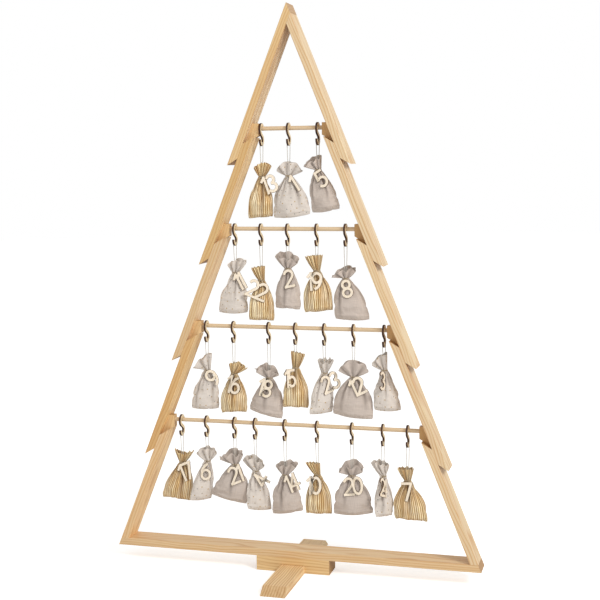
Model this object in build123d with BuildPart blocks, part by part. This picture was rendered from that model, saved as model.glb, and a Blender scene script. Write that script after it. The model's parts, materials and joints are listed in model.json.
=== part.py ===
from build123d import *

import os
from dataclasses import dataclass
from math import asin, cos, degrees, hypot, radians, sin, tan

# Wooden advent calendar: a tree outline of pine boards on a cross foot, with round rods
# across it that carry plywood hooks, tied fabric pouches and plywood day numbers.
# Millimetres, +Z up, +X to the right, front towards -Y. The origin is on the floor,
# under the middle of the foot.

# Boards of the tree
board_thickness = 18.0
board_depth = 60.0
edge_break = 0.8
leg_angle = 22.0
frame_height = 1326.0
first_tip_drop = 373.0
tier_pitch = 238.0
lap_length = 49.5
cut_angle = 30.0
glue_line = 0.2

# Cross foot
sole_length = 406.0
sole_bevel = 25.0
cross_length = 184.0
screw_length = 45.0
screw_shank = 4.0
screw_head = 8.0
screw_recess = 1.0
screw_spacing = 36.0
screw_clearance = 0.1

# Rods and the blocks that hold their ends
rod_diameter = 10.0
rod_rise = 21.4
block_depth = 18.0
block_reach = 8.0
block_head = 12.0
socket_depth = 14.0
socket_clearance = 0.1

# Hooks
hook_thickness = 5.0
hook_band = 7.6
hook_length = 27.4
hook_clearance = 0.3
hook_end_gap = 5.0
loop_bore = 15.0
cradle_bore = 12.8
loop_tip_angle = 10.0
cradle_tip_angle = 8.0

# Cords, pouches and numbers
cord_diameter = 1.6
cord_clearance = 0.4
cord_corner = 0.8
shortest_cord = 14.0
pouch_gap = 0.3
row_gap = 5.0
body_height = 95.0
belly_drop = 62.0
base_drop = 85.0
ruffle_height = 35.0
neck_width = 16.0
neck_depth = 14.0
belly_depth = 36.0
base_depth = 30.0
seam_depth = 10.0
ruffle_depth = 16.0
number_height = 44.0
digit_width = 27.0
one_width = 12.0
digit_stroke = 5.5
digit_overlap = 3.0
number_thickness = 3.0
number_drop = 3.0

# Small curved pieces are made of straight facets, so that two dozen of each stay light
facet_angle = 30.0
pouch_sides = 12
cord_sides = 6

# Shares of the pouch's full width at its belly, its seam and its ruffle
belly_share = 0.95
seam_share = 0.97
ruffle_share = 0.55
ruffle_sway = 0.3


@dataclass(frozen=True)
class HangingSet:
    """One hook with its pouch and number.

    shift, width and lean are in hook pitches of the set's row, and drop is the share between
    the shortest and the longest cord. Yaw turns the pouch about its cord. The number lies on
    the side of the pouch that facing turns to from the front, tilt turns it in its own plane,
    slide moves it along its level in number heights, and swivel turns it about its upright
    until it stands off the pouch. The turns are in degrees.
    """

    day: int
    shift: float
    drop: float
    width: float
    yaw: float
    lean: float
    tilt: float
    slide: float = 0
    facing: float = 0
    swivel: float = 0


rows = (
    (
        HangingSet(13, 0.00, 0.66, 0.87, 8, -0.08, 21, slide=0.30),
        HangingSet(1, -0.08, 0.63, 1.25, 0, 0.10, 33, slide=0.08),
        HangingSet(5, -0.10, 0.24, 0.97, -6, 0.27, 30),
    ),
    (
        HangingSet(11, 0.08, 0.47, 0.96, 6, -0.09, 30, slide=0.06),
        HangingSet(22, -0.04, 0.98, 0.85, 10, 0.00, -22, slide=-0.02),
        HangingSet(2, -0.15, 0.12, 0.88, -5, 0.01, 13, slide=0.06),
        HangingSet(19, -0.19, 0.25, 0.98, 6, 0.03, 3, slide=-0.10),
        HangingSet(8, -0.25, 0.75, 1.12, 0, 0.21, 13),
    ),
    (
        HangingSet(9, 0.07, 0.57, 0.91, 10, -0.09, 46),
        HangingSet(16, -0.01, 0.77, 0.94, -5, -0.03, -10, slide=0.20),
        HangingSet(18, 0.18, 0.97, 1.10, 0, -0.13, -14),
        HangingSet(15, 0.07, 0.19, 0.85, 8, 0.00, 4, swivel=52),
        HangingSet(23, 0.02, 0.47, 0.60, 45, -0.13, 20, slide=0.04),
        HangingSet(12, -0.03, 0.68, 1.32, 0, -0.03, 28, slide=0.05),
        HangingSet(3, -0.05, 0.13, 0.85, 12, 0.12, 0, swivel=60),
    ),
    (
        HangingSet(17, 0.15, 0.52, 1.00, 6, -0.28, 27, slide=0.08),
        HangingSet(6, 0.02, 0.31, 0.58, 40, -0.28, 0, facing=-34),
        HangingSet(21, -0.02, 0.44, 1.22, 0, -0.24, 25, slide=-0.08),
        HangingSet(4, -0.32, 0.83, 0.65, 40, 0.12, 62, slide=-0.22, facing=-36),
        HangingSet(14, -0.32, 1.00, 1.05, -4, 0.08, 26, slide=0.34),
        HangingSet(10, -0.25, 0.85, 0.89, 6, 0.03, 0, slide=-0.14),
        HangingSet(20, -0.11, 0.74, 1.29, 0, 0.04, 8, slide=0.06),
        HangingSet(24, -0.11, 0.66, 0.45, 50, 0.01, -16, swivel=28),
        HangingSet(7, -0.32, 0.88, 1.12, -6, 0.12, 5),
    ),
)

# Two-digit numbers whose digits need a deeper overlap to meet
deep_overlaps = {24: 13.0, 20: 5.0}

# Places worked out from the sizes above
slope = tan(radians(leg_angle))
board_run = board_thickness / cos(radians(leg_angle))
cut_slope = tan(radians(cut_angle))
cut_rise = cut_slope * board_run / (1 - cut_slope * slope)
rail_underside = 2 * board_thickness
rail_top = rail_underside + board_thickness
apex_z = rail_underside + frame_height
rod_radius = rod_diameter / 2
loop_middle = (loop_bore + hook_band) / 2
cradle_middle = (cradle_bore + hook_band) / 2
hook_top = rod_radius + hook_clearance + hook_band
loop_drop = loop_middle + hook_band / 2 - hook_top
hook_bottom = hook_length + cradle_middle + hook_band / 2
shortest_drop = hook_bottom + shortest_cord + ruffle_height
longest_drop = tier_pitch - hook_top - row_gap - body_height

# Rows of rods: as many as leave the lowest pouch clear of the base rail, each between two tiers
rod_above_tip = lap_length + cut_rise + rod_rise
lowest_bay = longest_drop + body_height + row_gap - rod_above_tip
row_count = 1 + int((frame_height - board_thickness - first_tip_drop - lowest_bay) // tier_pitch)
tier_count = row_count + 1


def face_x(tier: int, z: float) -> float:
    """X of the outer face of a tier's right-hand board, which is the inner face of the tier above."""
    return slope * (apex_z - z) - (tier - 1) * board_run


def tip_z(tier: int) -> float:
    """Height of the branch tip at the bottom of a tier's boards."""
    return apex_z - first_tip_drop - (tier - 1) * tier_pitch


def top_z(tier: int) -> float:
    """Height of the outer corner of the slanted cut at the top of a tier's boards."""
    return tip_z(tier - 1) + lap_length


def rod_z(row: int) -> float:
    """Height of a rod's axis; row 1 is the highest."""
    return tip_z(row) + rod_above_tip


def block_face_x(row: int) -> float:
    """X of the upright face of a rod's right-hand block."""
    return face_x(row + 2, top_z(row + 1) + cut_rise) - block_reach


def row_pitch(row: int) -> float:
    """Even spacing of a row's hooks between the blocks at the rod's ends."""
    return 2 * (block_face_x(row) - hook_end_gap) / (len(rows[row - 1]) - 1)


def arc_points(centre: tuple, radii: tuple, start: float, stop: float) -> list:
    """Points of a faceted arc from one angle to another, in degrees."""
    count = max(2, round(abs(stop - start) / facet_angle))
    angles = [radians(start + (stop - start) * i / count) for i in range(count + 1)]
    return [(centre[0] + radii[0] * cos(a), centre[1] + radii[1] * sin(a)) for a in angles]


def band_outline(path: list, width: float) -> list:
    """Corners of a flat band of even width along a path of straight runs."""
    points = [Vector(*p) for p in path]
    runs = [(b - a).normalized() for a, b in zip(points, points[1:])]
    left, right = [], []
    for i, point in enumerate(points):
        before = runs[max(i - 1, 0)]
        after = runs[min(i, len(runs) - 1)]
        normal = Vector(-before.Y - after.Y, before.X + after.X)
        mitre = normal * (width / 2 / (1 + before.dot(after)))
        left.append(tuple(point + mitre)[:2])
        right.append(tuple(point - mitre)[:2])
    return left + right[::-1]


def board_outline(tier: int) -> list:
    """Corners of a right-hand board below the first tier, in X and Z."""
    top, tip = top_z(tier), tip_z(tier)
    head = [
        (face_x(tier + 1, top + cut_rise), top + cut_rise),
        (face_x(tier, top), top),
    ]
    if tier == tier_count:
        return head + [(face_x(tier, rail_top), rail_top), (face_x(tier + 1, rail_top), rail_top)]
    return head + [
        (face_x(tier, tip), tip),
        (face_x(tier + 1, tip + cut_rise), tip + cut_rise),
    ]


def hook_path() -> list:
    """Middle line of a hook, in Y and Z from the rod's axis: loop, slanting stem and cradle."""
    turn = degrees(asin((loop_middle + cradle_middle) / (hook_length - loop_drop)))
    outside = 1 / cos(radians(facet_angle / 2))
    loop = arc_points((0, -loop_drop), (loop_middle * outside,) * 2, -loop_tip_angle, 180 + turn)
    cradle = arc_points(
        (0, -hook_length), (cradle_middle * outside,) * 2, turn, -180 - cradle_tip_angle
    )
    return loop + cradle


def digit_parts(digit: int) -> tuple[list, list]:
    """Rings (centre and radii) and open strokes of a digit, on the middle line of its stroke.

    The digit's box is centred in X and stands on Y = 0.
    """
    half = digit_stroke / 2
    w = digit_width / 2 - half
    h = number_height - digit_stroke
    low, high, side = -half, h + half, w + half
    top_bowl, low_bowl, round_bowl = 0.24 * h, 0.26 * h, 0.30 * h
    six_stem = arc_points((0.75 * w, round_bowl), (1.75 * w, h - round_bowl), 100, 180)
    if digit == 0:
        return [((0, h / 2), (w, h / 2))], []
    if digit == 1:
        stem = one_width / 2 - half
        return [], [[(stem, low), (stem, high)], [(-stem - half, h - 0.25 * h), (stem, h)]]
    if digit == 2:
        arc = arc_points((0, h - w), (w, w), 165, -40)
        return [], [arc + [(-w, 0)], [(-side, 0), (side, 0)]]
    if digit == 3:
        upper = arc_points((0, h - top_bowl), (0.85 * w, top_bowl), 150, -90)
        lower = arc_points((0, low_bowl), (w, low_bowl), 90, -150)
        return [], [upper, lower]
    if digit == 4:
        stem, bar = 0.4 * w, 0.3 * h
        return [], [[(stem, low), (stem, high)], [(stem, h), (-w, bar)], [(-side, bar), (side, bar)]]
    if digit == 5:
        bowl = arc_points((0, round_bowl), (w, round_bowl), 145, -150)
        return [], [[(0.9 * w, h), (-0.7 * w - half, h)], [(-0.7 * w, h), (-0.78 * w, 0.45 * h)], bowl]
    if digit == 6:
        return [((0, round_bowl), (w, round_bowl))], [six_stem]
    if digit == 7:
        return [], [[(-side, h), (side, h)], [(w, h), (-0.2 * w, low)]]
    if digit == 8:
        return [((0, h - top_bowl), (0.85 * w, top_bowl)), ((0, low_bowl), (w, low_bowl))], []
    return [((0, h - round_bowl), (w, round_bowl))], [[(-x, h - y) for x, y in six_stem]]


def number_outlines(day: int) -> tuple[list, list]:
    """Outlines and holes of a day's number, centred in X and hanging below Y = 0."""
    digits = [int(d) for d in str(day)]
    halves = [(one_width if d == 1 else digit_width) / 2 for d in digits]
    places = [halves[0]]
    if len(digits) == 2:
        places.append(sum(halves) + halves[0] - deep_overlaps.get(day, digit_overlap))
    middle = (places[-1] + halves[-1]) / 2
    base_y = digit_stroke / 2 - number_height
    outlines, holes = [], []
    for digit, place in zip(digits, places):
        rings, strokes = digit_parts(digit)
        for (x, y), radii in rings:
            centre = (x + place - middle, y + base_y)
            outlines.append(arc_points(centre, [r + digit_stroke / 2 for r in radii], 0, 360)[:-1])
            holes.append(arc_points(centre, [r - digit_stroke / 2 for r in radii], 0, 360)[:-1])
        for stroke in strokes:
            path = [(x + place - middle, y + base_y) for x, y in stroke]
            outlines.append(band_outline(path, digit_stroke))
    return outlines, holes


os.makedirs("parts", exist_ok=True)
board_axis = Axis((0, 0, 0), (slope, 0, -1))
mirror_axis = Axis((0, 0, 0), (-slope, 0, -1))
half_depth = board_depth / 2

# Tier 1: the left board runs through to the apex, and the right one butts against it
# with a thin glue line
butt_shift = glue_line / sin(radians(2 * leg_angle))
butt_x, butt_z = butt_shift * sin(radians(leg_angle)), butt_shift * cos(radians(leg_angle))
ridge = (board_run / 2, apex_z - board_run / 2 / slope)
inner_apex_z = apex_z - board_run / slope
first_tip, first_heel = tip_z(1), tip_z(1) + cut_rise
with BuildPart() as tier_1_boards:
    with BuildSketch(Plane.XZ):
        Polygon(
            (0, apex_z),
            ridge,
            (-face_x(2, first_heel), first_heel),
            (-face_x(1, first_tip), first_tip),
            align=None,
        )
        Polygon(
            (ridge[0] + butt_x, ridge[1] - butt_z),
            (face_x(1, first_tip), first_tip),
            (face_x(2, first_heel), first_heel),
            (butt_x, inner_apex_z - butt_z),
            align=None,
        )
    extrude(amount=half_depth, both=True)
    long_edges = tier_1_boards.edges().filter_by(board_axis) + tier_1_boards.edges().filter_by(mirror_axis)
    chamfer(long_edges.filter_by(lambda edge: edge.length > tier_pitch / 2), edge_break)
tier_1_boards.part.label = "tier_1_boards"
export_step(tier_1_boards.part, "parts/tier_1_boards.step")

# Tiers 2 to 5: a left and a right board each, lapped on the inner faces of the tier above
for tier in range(2, tier_count + 1):
    with BuildPart() as tier_boards:
        with BuildSketch(Plane.XZ):
            Polygon(*board_outline(tier), align=None)
        extrude(amount=half_depth, both=True)
        chamfer(tier_boards.edges().filter_by(board_axis), edge_break)
        mirror(about=Plane.YZ)
    tier_boards.part.label = f"tier_{tier}_boards"
    export_step(tier_boards.part, f"parts/tier_{tier}_boards.step")

# Screws come up through the foot into the base rail
screw_places = [(0, y) for y in (-screw_spacing / 2, screw_spacing / 2)]
side_middle = (board_depth / 2 + cross_length / 2) / 2
side_screw_places = [(x, 0) for x in (-side_middle, side_middle)]
all_screw_places = screw_places + side_screw_places
hole_radius = screw_shank / 2 + screw_clearance
head_depth = (screw_head - screw_shank) / 2
screw_tip_z = screw_recess + screw_length

# Base rail: its ends are bevelled flush with the outer faces of the last tier
rail_half = face_x(tier_count, rail_underside)
rail_half_top = face_x(tier_count, rail_top)
with BuildPart() as base_rail:
    with BuildSketch(Plane.XZ):
        Polygon(
            (-rail_half, rail_underside),
            (rail_half, rail_underside),
            (rail_half_top, rail_top),
            (-rail_half_top, rail_top),
            align=None,
        )
    extrude(amount=half_depth, both=True)
    chamfer(base_rail.edges().filter_by(Axis.X), edge_break)
    with BuildSketch(Plane.XY.offset(rail_underside)):
        with Locations(*all_screw_places):
            Circle(hole_radius)
    extrude(amount=screw_tip_z + screw_clearance - rail_underside, mode=Mode.SUBTRACT)
base_rail.part.label = "base_rail"
export_step(base_rail.part, "parts/base_rail.step")

# Foot: the sole runs front to back, its ends bevelled down to the floor
with BuildPart() as foot_sole:
    with BuildSketch(Plane.YZ):
        Polygon(
            (-sole_length / 2, 0),
            (sole_length / 2, 0),
            (sole_length / 2 - sole_bevel, board_thickness),
            (sole_bevel - sole_length / 2, board_thickness),
            align=None,
        )
    extrude(amount=board_depth / 2, both=True)
    chamfer(foot_sole.edges().filter_by(Axis.Y).group_by(Axis.Z)[-1], edge_break)
    with Locations(Plane.XY.rotated((180, 0, 0))):
        with Locations(*screw_places):
            CounterSinkHole(
                radius=hole_radius,
                counter_sink_radius=screw_head / 2 + screw_clearance + screw_recess,
                depth=board_thickness,
                counter_sink_angle=90,
            )
foot_sole.part.label = "foot_sole"
export_step(foot_sole.part, "parts/foot_sole.step")

# Foot: two side blocks level with the sole, and the board across the top of all three
with BuildPart() as foot_side_blocks:
    with BuildSketch(Plane.XY):
        with Locations((side_middle, 0), (-side_middle, 0)):
            Rectangle((cross_length - board_depth) / 2, board_depth)
    extrude(amount=board_thickness)
    chamfer(foot_side_blocks.edges().filter_by(Axis.X), edge_break)
    with Locations(Plane.XY.rotated((180, 0, 0))):
        with Locations(*side_screw_places):
            CounterSinkHole(
                radius=hole_radius,
                counter_sink_radius=screw_head / 2 + screw_clearance + screw_recess,
                depth=board_thickness,
                counter_sink_angle=90,
            )
foot_side_blocks.part.label = "foot_side_blocks"
export_step(foot_side_blocks.part, "parts/foot_side_blocks.step")

with BuildPart() as foot_top_board:
    with BuildSketch(Plane.XY.offset(board_thickness)):
        Rectangle(cross_length, board_depth)
        with Locations(*all_screw_places):
            Circle(hole_radius, mode=Mode.SUBTRACT)
    extrude(amount=board_thickness)
    chamfer(foot_top_board.edges().filter_by(Axis.X), edge_break)
foot_top_board.part.label = "foot_top_board"
export_step(foot_top_board.part, "parts/foot_top_board.step")

with BuildPart() as foot_screws:
    with Locations(*[(x, y, screw_recess) for x, y in all_screw_places]):
        upward = (Align.CENTER, Align.CENTER, Align.MIN)
        Cone(screw_head / 2, screw_shank / 2, head_depth, align=upward)
        Cylinder(screw_shank / 2, screw_length, align=upward)
foot_screws.part.label = "foot_screws"
export_step(foot_screws.part, "parts/foot_screws.step")

# Rods, and the wedge blocks that seat on the slanted cuts and hold the rods' ends
with BuildPart() as hanging_rods:
    for row in range(1, row_count + 1):
        rod_length = 2 * (block_face_x(row) + socket_depth - socket_clearance)
        with Locations((0, 0, rod_z(row))):
            Cylinder(rod_radius, rod_length, rotation=(0, 90, 0))
hanging_rods.part.label = "hanging_rods"
export_step(hanging_rods.part, "parts/hanging_rods.step")

with BuildPart() as rod_blocks:
    for row in range(1, row_count + 1):
        face, axis_z, seat_z = block_face_x(row), rod_z(row), top_z(row + 1)
        head_z = axis_z + block_head
        seat_x = face_x(row + 1, seat_z)
        with BuildSketch(Plane.XZ):
            Polygon(
                (face, head_z),
                (face_x(row + 1, head_z), head_z),
                (seat_x, seat_z),
                (face, seat_z + (seat_x - face) * cut_slope),
                align=None,
            )
        extrude(amount=block_depth / 2, both=True)
        with Locations((face + socket_depth / 2, 0, axis_z)):
            Cylinder(
                rod_radius + socket_clearance, socket_depth, rotation=(0, 90, 0), mode=Mode.SUBTRACT
            )
    mirror(about=Plane.YZ)
rod_blocks.part.label = "rod_blocks"
export_step(rod_blocks.part, "parts/rod_blocks.step")

# Hanging sets
for row, sets in enumerate(rows[:row_count], start=1):
    pitch, axis_z = row_pitch(row), rod_z(row)
    for place, hanging in enumerate(sets):
        hook_x = (place - (len(sets) - 1) / 2 + hanging.shift) * pitch
        drop = shortest_drop + hanging.drop * (longest_drop - shortest_drop)
        neck_z = axis_z - drop
        lean = hanging.lean * pitch
        width = hanging.width * pitch / cos(radians(hanging.yaw))

        # Hook: cut from flat plywood, upright across the rod
        with BuildPart() as hook:
            with BuildSketch(Plane((hook_x, 0, axis_z), x_dir=(0, 1, 0), z_dir=(1, 0, 0))):
                Polygon(*band_outline(hook_path(), hook_band), align=None)
            extrude(amount=hook_thickness / 2, both=True)
        hook.part.label = f"hook_{hanging.day:02d}"
        export_step(hook.part, f"parts/{hook.part.label}.step")

        # Pouch: a lofted bag from its bottom seam to the ruffle above the tied neck
        across = Vector(cos(radians(hanging.yaw)), sin(radians(hanging.yaw)), 0)
        belly_x = hook_x + lean * belly_drop / body_height
        base_x = hook_x + lean * base_drop / body_height
        sections = (
            (hook_x + lean, neck_z - body_height, seam_share * width, seam_depth),
            (base_x, neck_z - base_drop, width, base_depth),
            (belly_x, neck_z - belly_drop, belly_share * width, belly_depth),
            (hook_x, neck_z, neck_width, neck_depth),
            (hook_x - ruffle_sway * lean, neck_z + ruffle_height, ruffle_share * width, ruffle_depth),
        )
        with BuildPart() as pouch:
            for x, z, wide, deep in sections:
                with BuildSketch(Plane((x, 0, z), x_dir=across, z_dir=(0, 0, 1))):
                    turns = [radians(360 * i / pouch_sides) for i in range(pouch_sides)]
                    Polygon(*[(wide / 2 * cos(a), deep / 2 * sin(a)) for a in turns], align=None)
            loft(ruled=True)

            # Number: lies on the front of the pouch, hung from its neck
            side_turn, facing_turn = radians(hanging.yaw + hanging.facing), radians(hanging.facing)
            along = Vector(cos(side_turn), sin(side_turn), 0)
            front = Vector(along.Y, -along.X, 0)
            neck_reach = hypot(neck_width * sin(facing_turn), neck_depth * cos(facing_turn)) / 2
            belly_width = belly_share * width
            belly_reach = hypot(belly_width * sin(facing_turn), belly_depth * cos(facing_turn)) / 2
            neck_front = Vector(hook_x, 0, neck_z) + front * neck_reach
            belly_front = Vector(belly_x, 0, neck_z - belly_drop) + front * belly_reach
            up = (neck_front - belly_front).normalized()
            outward = along.cross(up)
            swivel, tilt = radians(hanging.swivel), radians(hanging.tilt)
            facing = outward * cos(swivel) + along * sin(swivel)
            sideways = along * cos(swivel) - outward * sin(swivel)
            level = sideways * cos(tilt) + up * sin(tilt)
            upright = facing.cross(level)
            outlines, holes = number_outlines(hanging.day)
            corners = [level * x + upright * y for outline in outlines for x, y in outline]
            hang_point = neck_front - up * number_drop + outward * pouch_gap
            hang_point += level * (hanging.slide * number_height)
            if hanging.swivel:
                back_corner = min(corners, key=outward.dot)
                hang_point -= outward * outward.dot(back_corner) + along * along.dot(back_corner)
            with BuildSketch(Plane(hang_point, x_dir=level, z_dir=facing)):
                for outline in outlines:
                    Polygon(*outline, align=None)
                for hole in holes:
                    Polygon(*hole, align=None, mode=Mode.SUBTRACT)
            extrude(amount=number_thickness)

            # Cord: a loop from the ruffle up over the cradle of the hook
            strand = hook_thickness / 2 + cord_clearance + cord_diameter / 2
            cord_foot = neck_z + ruffle_height + pouch_gap
            cord_top = axis_z - hook_length - cradle_bore / 2 + cord_clearance + cord_diameter / 2
            with BuildLine():
                Polyline(
                    (hook_x - strand, 0, cord_foot),
                    (hook_x - strand, 0, cord_top - cord_corner),
                    (hook_x - strand + cord_corner, 0, cord_top),
                    (hook_x + strand - cord_corner, 0, cord_top),
                    (hook_x + strand, 0, cord_top - cord_corner),
                    (hook_x + strand, 0, cord_foot),
                )
            with BuildSketch(Plane.XY.offset(cord_foot)):
                with Locations((hook_x - strand, 0)):
                    RegularPolygon(cord_diameter / 2, cord_sides)
            sweep(transition=Transition.RIGHT)
        pouch.part.label = f"pouch_{hanging.day:02d}"
        export_step(pouch.part, f"parts/{pouch.part.label}.step")
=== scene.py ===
"""Looks of the tree-shaped advent calendar: pine, plywood hooks and numbers, cords and pouches."""

import json
import logging
import math
import random
from collections.abc import Iterator
from contextlib import contextmanager
from dataclasses import dataclass, field
from enum import Enum

import bmesh
import bpy
from bpy.types import ID, Material, Mesh, Node, NodeSocket, NodeTree, Object
from mathutils import Matrix, Vector, noise


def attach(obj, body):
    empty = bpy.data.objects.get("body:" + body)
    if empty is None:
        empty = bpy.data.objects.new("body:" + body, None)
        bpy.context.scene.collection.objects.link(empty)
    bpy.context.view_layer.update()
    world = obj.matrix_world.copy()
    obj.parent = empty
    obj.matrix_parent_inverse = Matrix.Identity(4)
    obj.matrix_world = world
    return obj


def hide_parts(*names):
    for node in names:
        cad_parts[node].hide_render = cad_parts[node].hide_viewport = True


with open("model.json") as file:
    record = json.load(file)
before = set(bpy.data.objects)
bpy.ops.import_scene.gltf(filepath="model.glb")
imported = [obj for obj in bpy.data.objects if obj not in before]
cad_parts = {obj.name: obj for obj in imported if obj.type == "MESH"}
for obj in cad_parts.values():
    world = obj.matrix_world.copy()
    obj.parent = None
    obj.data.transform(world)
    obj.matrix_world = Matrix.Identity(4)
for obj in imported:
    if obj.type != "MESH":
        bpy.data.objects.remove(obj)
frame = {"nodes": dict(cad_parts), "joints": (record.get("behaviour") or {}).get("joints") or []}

log = logging.getLogger("advent_calendar")

Colour = tuple[float, float, float, float]
Section = list[tuple[Vector, float]]

LEG_ANGLE = math.radians(22)
BOARD_THICKNESS = 0.018
APEX_HEIGHT = 1.362
CLOTH_MAP = "cloth"
# The point attribute of painted shade in the cloth's folds.
FOLD_SHADE_MASK = "fold"
SOLID_MERGE = 1e-5
# How dark the cut ends turn: the end grain's own tone and painted shade on them.
END_GRAIN_AND_PAINTED_SHADE = 0.62
GRAIN_RELIEF = 0.00018
FLOOR_RADIUS = 14.0
FLOOR_LEVEL = -0.0005
LEVEL_TOLERANCE = 2e-4


def deselect_all() -> None:
    """Leaves object mode with nothing selected."""
    if bpy.context.object and bpy.context.object.mode != "OBJECT":
        bpy.ops.object.mode_set(mode="OBJECT")
    bpy.ops.object.select_all(action="DESELECT")


def pick(obj: Object) -> None:
    """Makes one object the only selected and active one."""
    deselect_all()
    obj.select_set(True)
    bpy.context.view_layer.objects.active = obj


def add_object(name: str, data: ID) -> Object:
    """Links a new object with its data to the scene and returns it."""
    obj = bpy.data.objects.new(name, data)
    bpy.context.collection.objects.link(obj)
    return obj


@contextmanager
def editing(obj: Object, action: str = "SELECT") -> Iterator[None]:
    """Holds an object in edit mode, with all of its mesh selected or deselected at first."""
    pick(obj)
    bpy.ops.object.mode_set(mode="EDIT")
    bpy.ops.mesh.select_all(action=action)
    yield
    bpy.ops.object.mode_set(mode="OBJECT")


def clean_mesh(obj: Object, merge: float = 2e-6) -> None:
    """Merges the doubles of a mesh and turns its faces outwards.

    Args:
        obj: The mesh object to clean.
        merge: The distance below which points are one, in metres.
    """
    with editing(obj):
        bpy.ops.mesh.remove_doubles(threshold=merge)
        bpy.ops.mesh.normals_make_consistent(inside=False)


def apply_modifiers(obj: Object) -> None:
    """Applies every modifier of an object in order."""
    pick(obj)
    for modifier in list(obj.modifiers):
        bpy.ops.object.modifier_apply(modifier=modifier.name)


def round_edges(obj: Object, width: float, angle: float) -> None:
    """Rounds every edge that is sharper than an angle.

    Args:
        obj: The object to round.
        width: How far the rounding reaches from the edge, in metres.
        angle: The smallest angle between faces that is rounded, in degrees.
    """
    bevel = obj.modifiers.new("edge_round", "BEVEL")
    bevel.width = width
    bevel.segments = 2
    bevel.angle_limit = math.radians(angle)
    apply_modifiers(obj)


def set_materials(mesh: Mesh, *materials: Material) -> None:
    """Gives a mesh these materials in order and no others."""
    mesh.materials.clear()
    for material in materials:
        mesh.materials.append(material)


def smooth_curve(name: str, route: list[Vector], resolution: int) -> Object:
    """Makes a curve of one open, smooth spline with no thickness.

    Args:
        name: The curve's name.
        route: The spline's control points.
        resolution: How many steps lie between two points.

    Returns:
        The curve's object.
    """
    data = bpy.data.curves.new(name, "CURVE")
    data.dimensions = "3D"
    spline = data.splines.new("NURBS")
    spline.points.add(len(route) - 1)
    for point, place in zip(spline.points, route):
        point.co = (*place, 1)
    spline.order_u = 3
    spline.use_endpoint_u = True
    spline.resolution_u = resolution
    return add_object(name, data)


def thicken(curve: Object, radius: float, roundness: int) -> None:
    """Gives a curve a round section with closed ends."""
    curve.data.bevel_depth = radius
    curve.data.bevel_resolution = roundness
    curve.data.use_fill_caps = True


def linear(hex_colour: str) -> Colour:
    """Turns a colour written as RRGGBB into linear values.

    Args:
        hex_colour: Six hexadecimal digits.

    Returns:
        The colour as linear red, green, blue and alpha.
    """
    parts = [int(hex_colour[i : i + 2], 16) / 255 for i in (0, 2, 4)]
    values = [p / 12.92 if p <= 0.04045 else ((p + 0.055) / 1.055) ** 2.4 for p in parts]
    return (values[0], values[1], values[2], 1.0)


class NodeBench:
    """Adds nodes to one node tree and wires them."""

    def __init__(self, tree: NodeTree) -> None:
        """Holds the tree to work on."""
        self.tree = tree

    def add(self, kind: str, inputs: dict | None = None, **settings: object) -> Node:
        """Adds a node with its settings, values and links.

        Args:
            kind: The node's type name.
            inputs: Values or sockets by input name or index.
            settings: Attributes of the node itself.

        Returns:
            The new node.
        """
        node = self.tree.nodes.new(kind)
        for name, value in settings.items():
            setattr(node, name, value)
        self.feed(node, inputs or {})
        return node

    def feed(self, node: Node, inputs: dict) -> None:
        """Sets a node's inputs, by name or index, to values or links them to sockets."""
        for name, value in inputs.items():
            if isinstance(value, NodeSocket):
                self.tree.links.new(value, node.inputs[name])
            else:
                node.inputs[name].default_value = value

    def math(self, operation: str, *values: object, clamp: bool = False) -> NodeSocket:
        """Adds a Math node on values or sockets and returns its output."""
        inputs = dict(enumerate(values))
        return self.add("ShaderNodeMath", inputs, operation=operation, use_clamp=clamp).outputs[0]

    def times(self, first: object, second: object) -> NodeSocket:
        """Multiplies two values and returns the product."""
        return self.math("MULTIPLY", first, second)

    def scaled(self, value: object, factor: object, base: object) -> NodeSocket:
        """Multiplies a value by a factor, adds a base and returns the sum."""
        return self.math("MULTIPLY_ADD", value, factor, base)

    def wave(self, place: NodeSocket, length: float) -> NodeSocket:
        """Gives a wave from 0 to 1 along a place, with its length in metres."""
        return self.scaled(self.math("SINE", self.times(place, math.tau / length)), 0.5, 0.5)

    def split(self, vector: NodeSocket) -> tuple[NodeSocket, ...]:
        """Gives the X, Y and Z of a vector."""
        return tuple(self.add("ShaderNodeSeparateXYZ", {0: vector}).outputs)

    def join(self, *values: object) -> NodeSocket:
        """Makes a vector of X, Y and Z and returns it."""
        return self.add("ShaderNodeCombineXYZ", dict(enumerate(values))).outputs[0]

    def mix(self, factor: object, first: object, second: object) -> NodeSocket:
        """Mixes two colours by a factor and returns the colour socket."""
        inputs = {0: factor, 6: first, 7: second}
        return self.add("ShaderNodeMix", inputs, data_type="RGBA").outputs[2]

    def ramp(self, factor: NodeSocket, stops: list[tuple[float, float]]) -> NodeSocket:
        """Shapes a value with a grey ramp.

        Args:
            factor: The value to shape.
            stops: Places and grey levels along the ramp.

        Returns:
            The shaped value.
        """
        node = self.add("ShaderNodeValToRGB", {"Fac": factor})
        elements = node.color_ramp.elements
        while len(elements) < len(stops):
            elements.new(0.5)
        for element, (place, level) in zip(elements, stops):
            element.position = place
            element.color = (level, level, level, 1)
        return self.add("ShaderNodeRGBToBW", {0: node.outputs[0]}).outputs[0]

    def noise(self, vector: NodeSocket, stretch: tuple, detail: float = 2.0) -> NodeSocket:
        """Adds noise on a stretched vector.

        Args:
            vector: The place on the surface.
            stretch: How many noise cells go to a metre on each axis.
            detail: How many octaves the noise has.

        Returns:
            The noise value from 0 to 1.
        """
        inputs = {0: vector, 1: stretch}
        place = self.add("ShaderNodeVectorMath", inputs, operation="MULTIPLY").outputs[0]
        inputs = {"Vector": place, "Scale": 1.0, "Detail": detail}
        return self.add("ShaderNodeTexNoise", inputs).outputs["Fac"]


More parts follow.
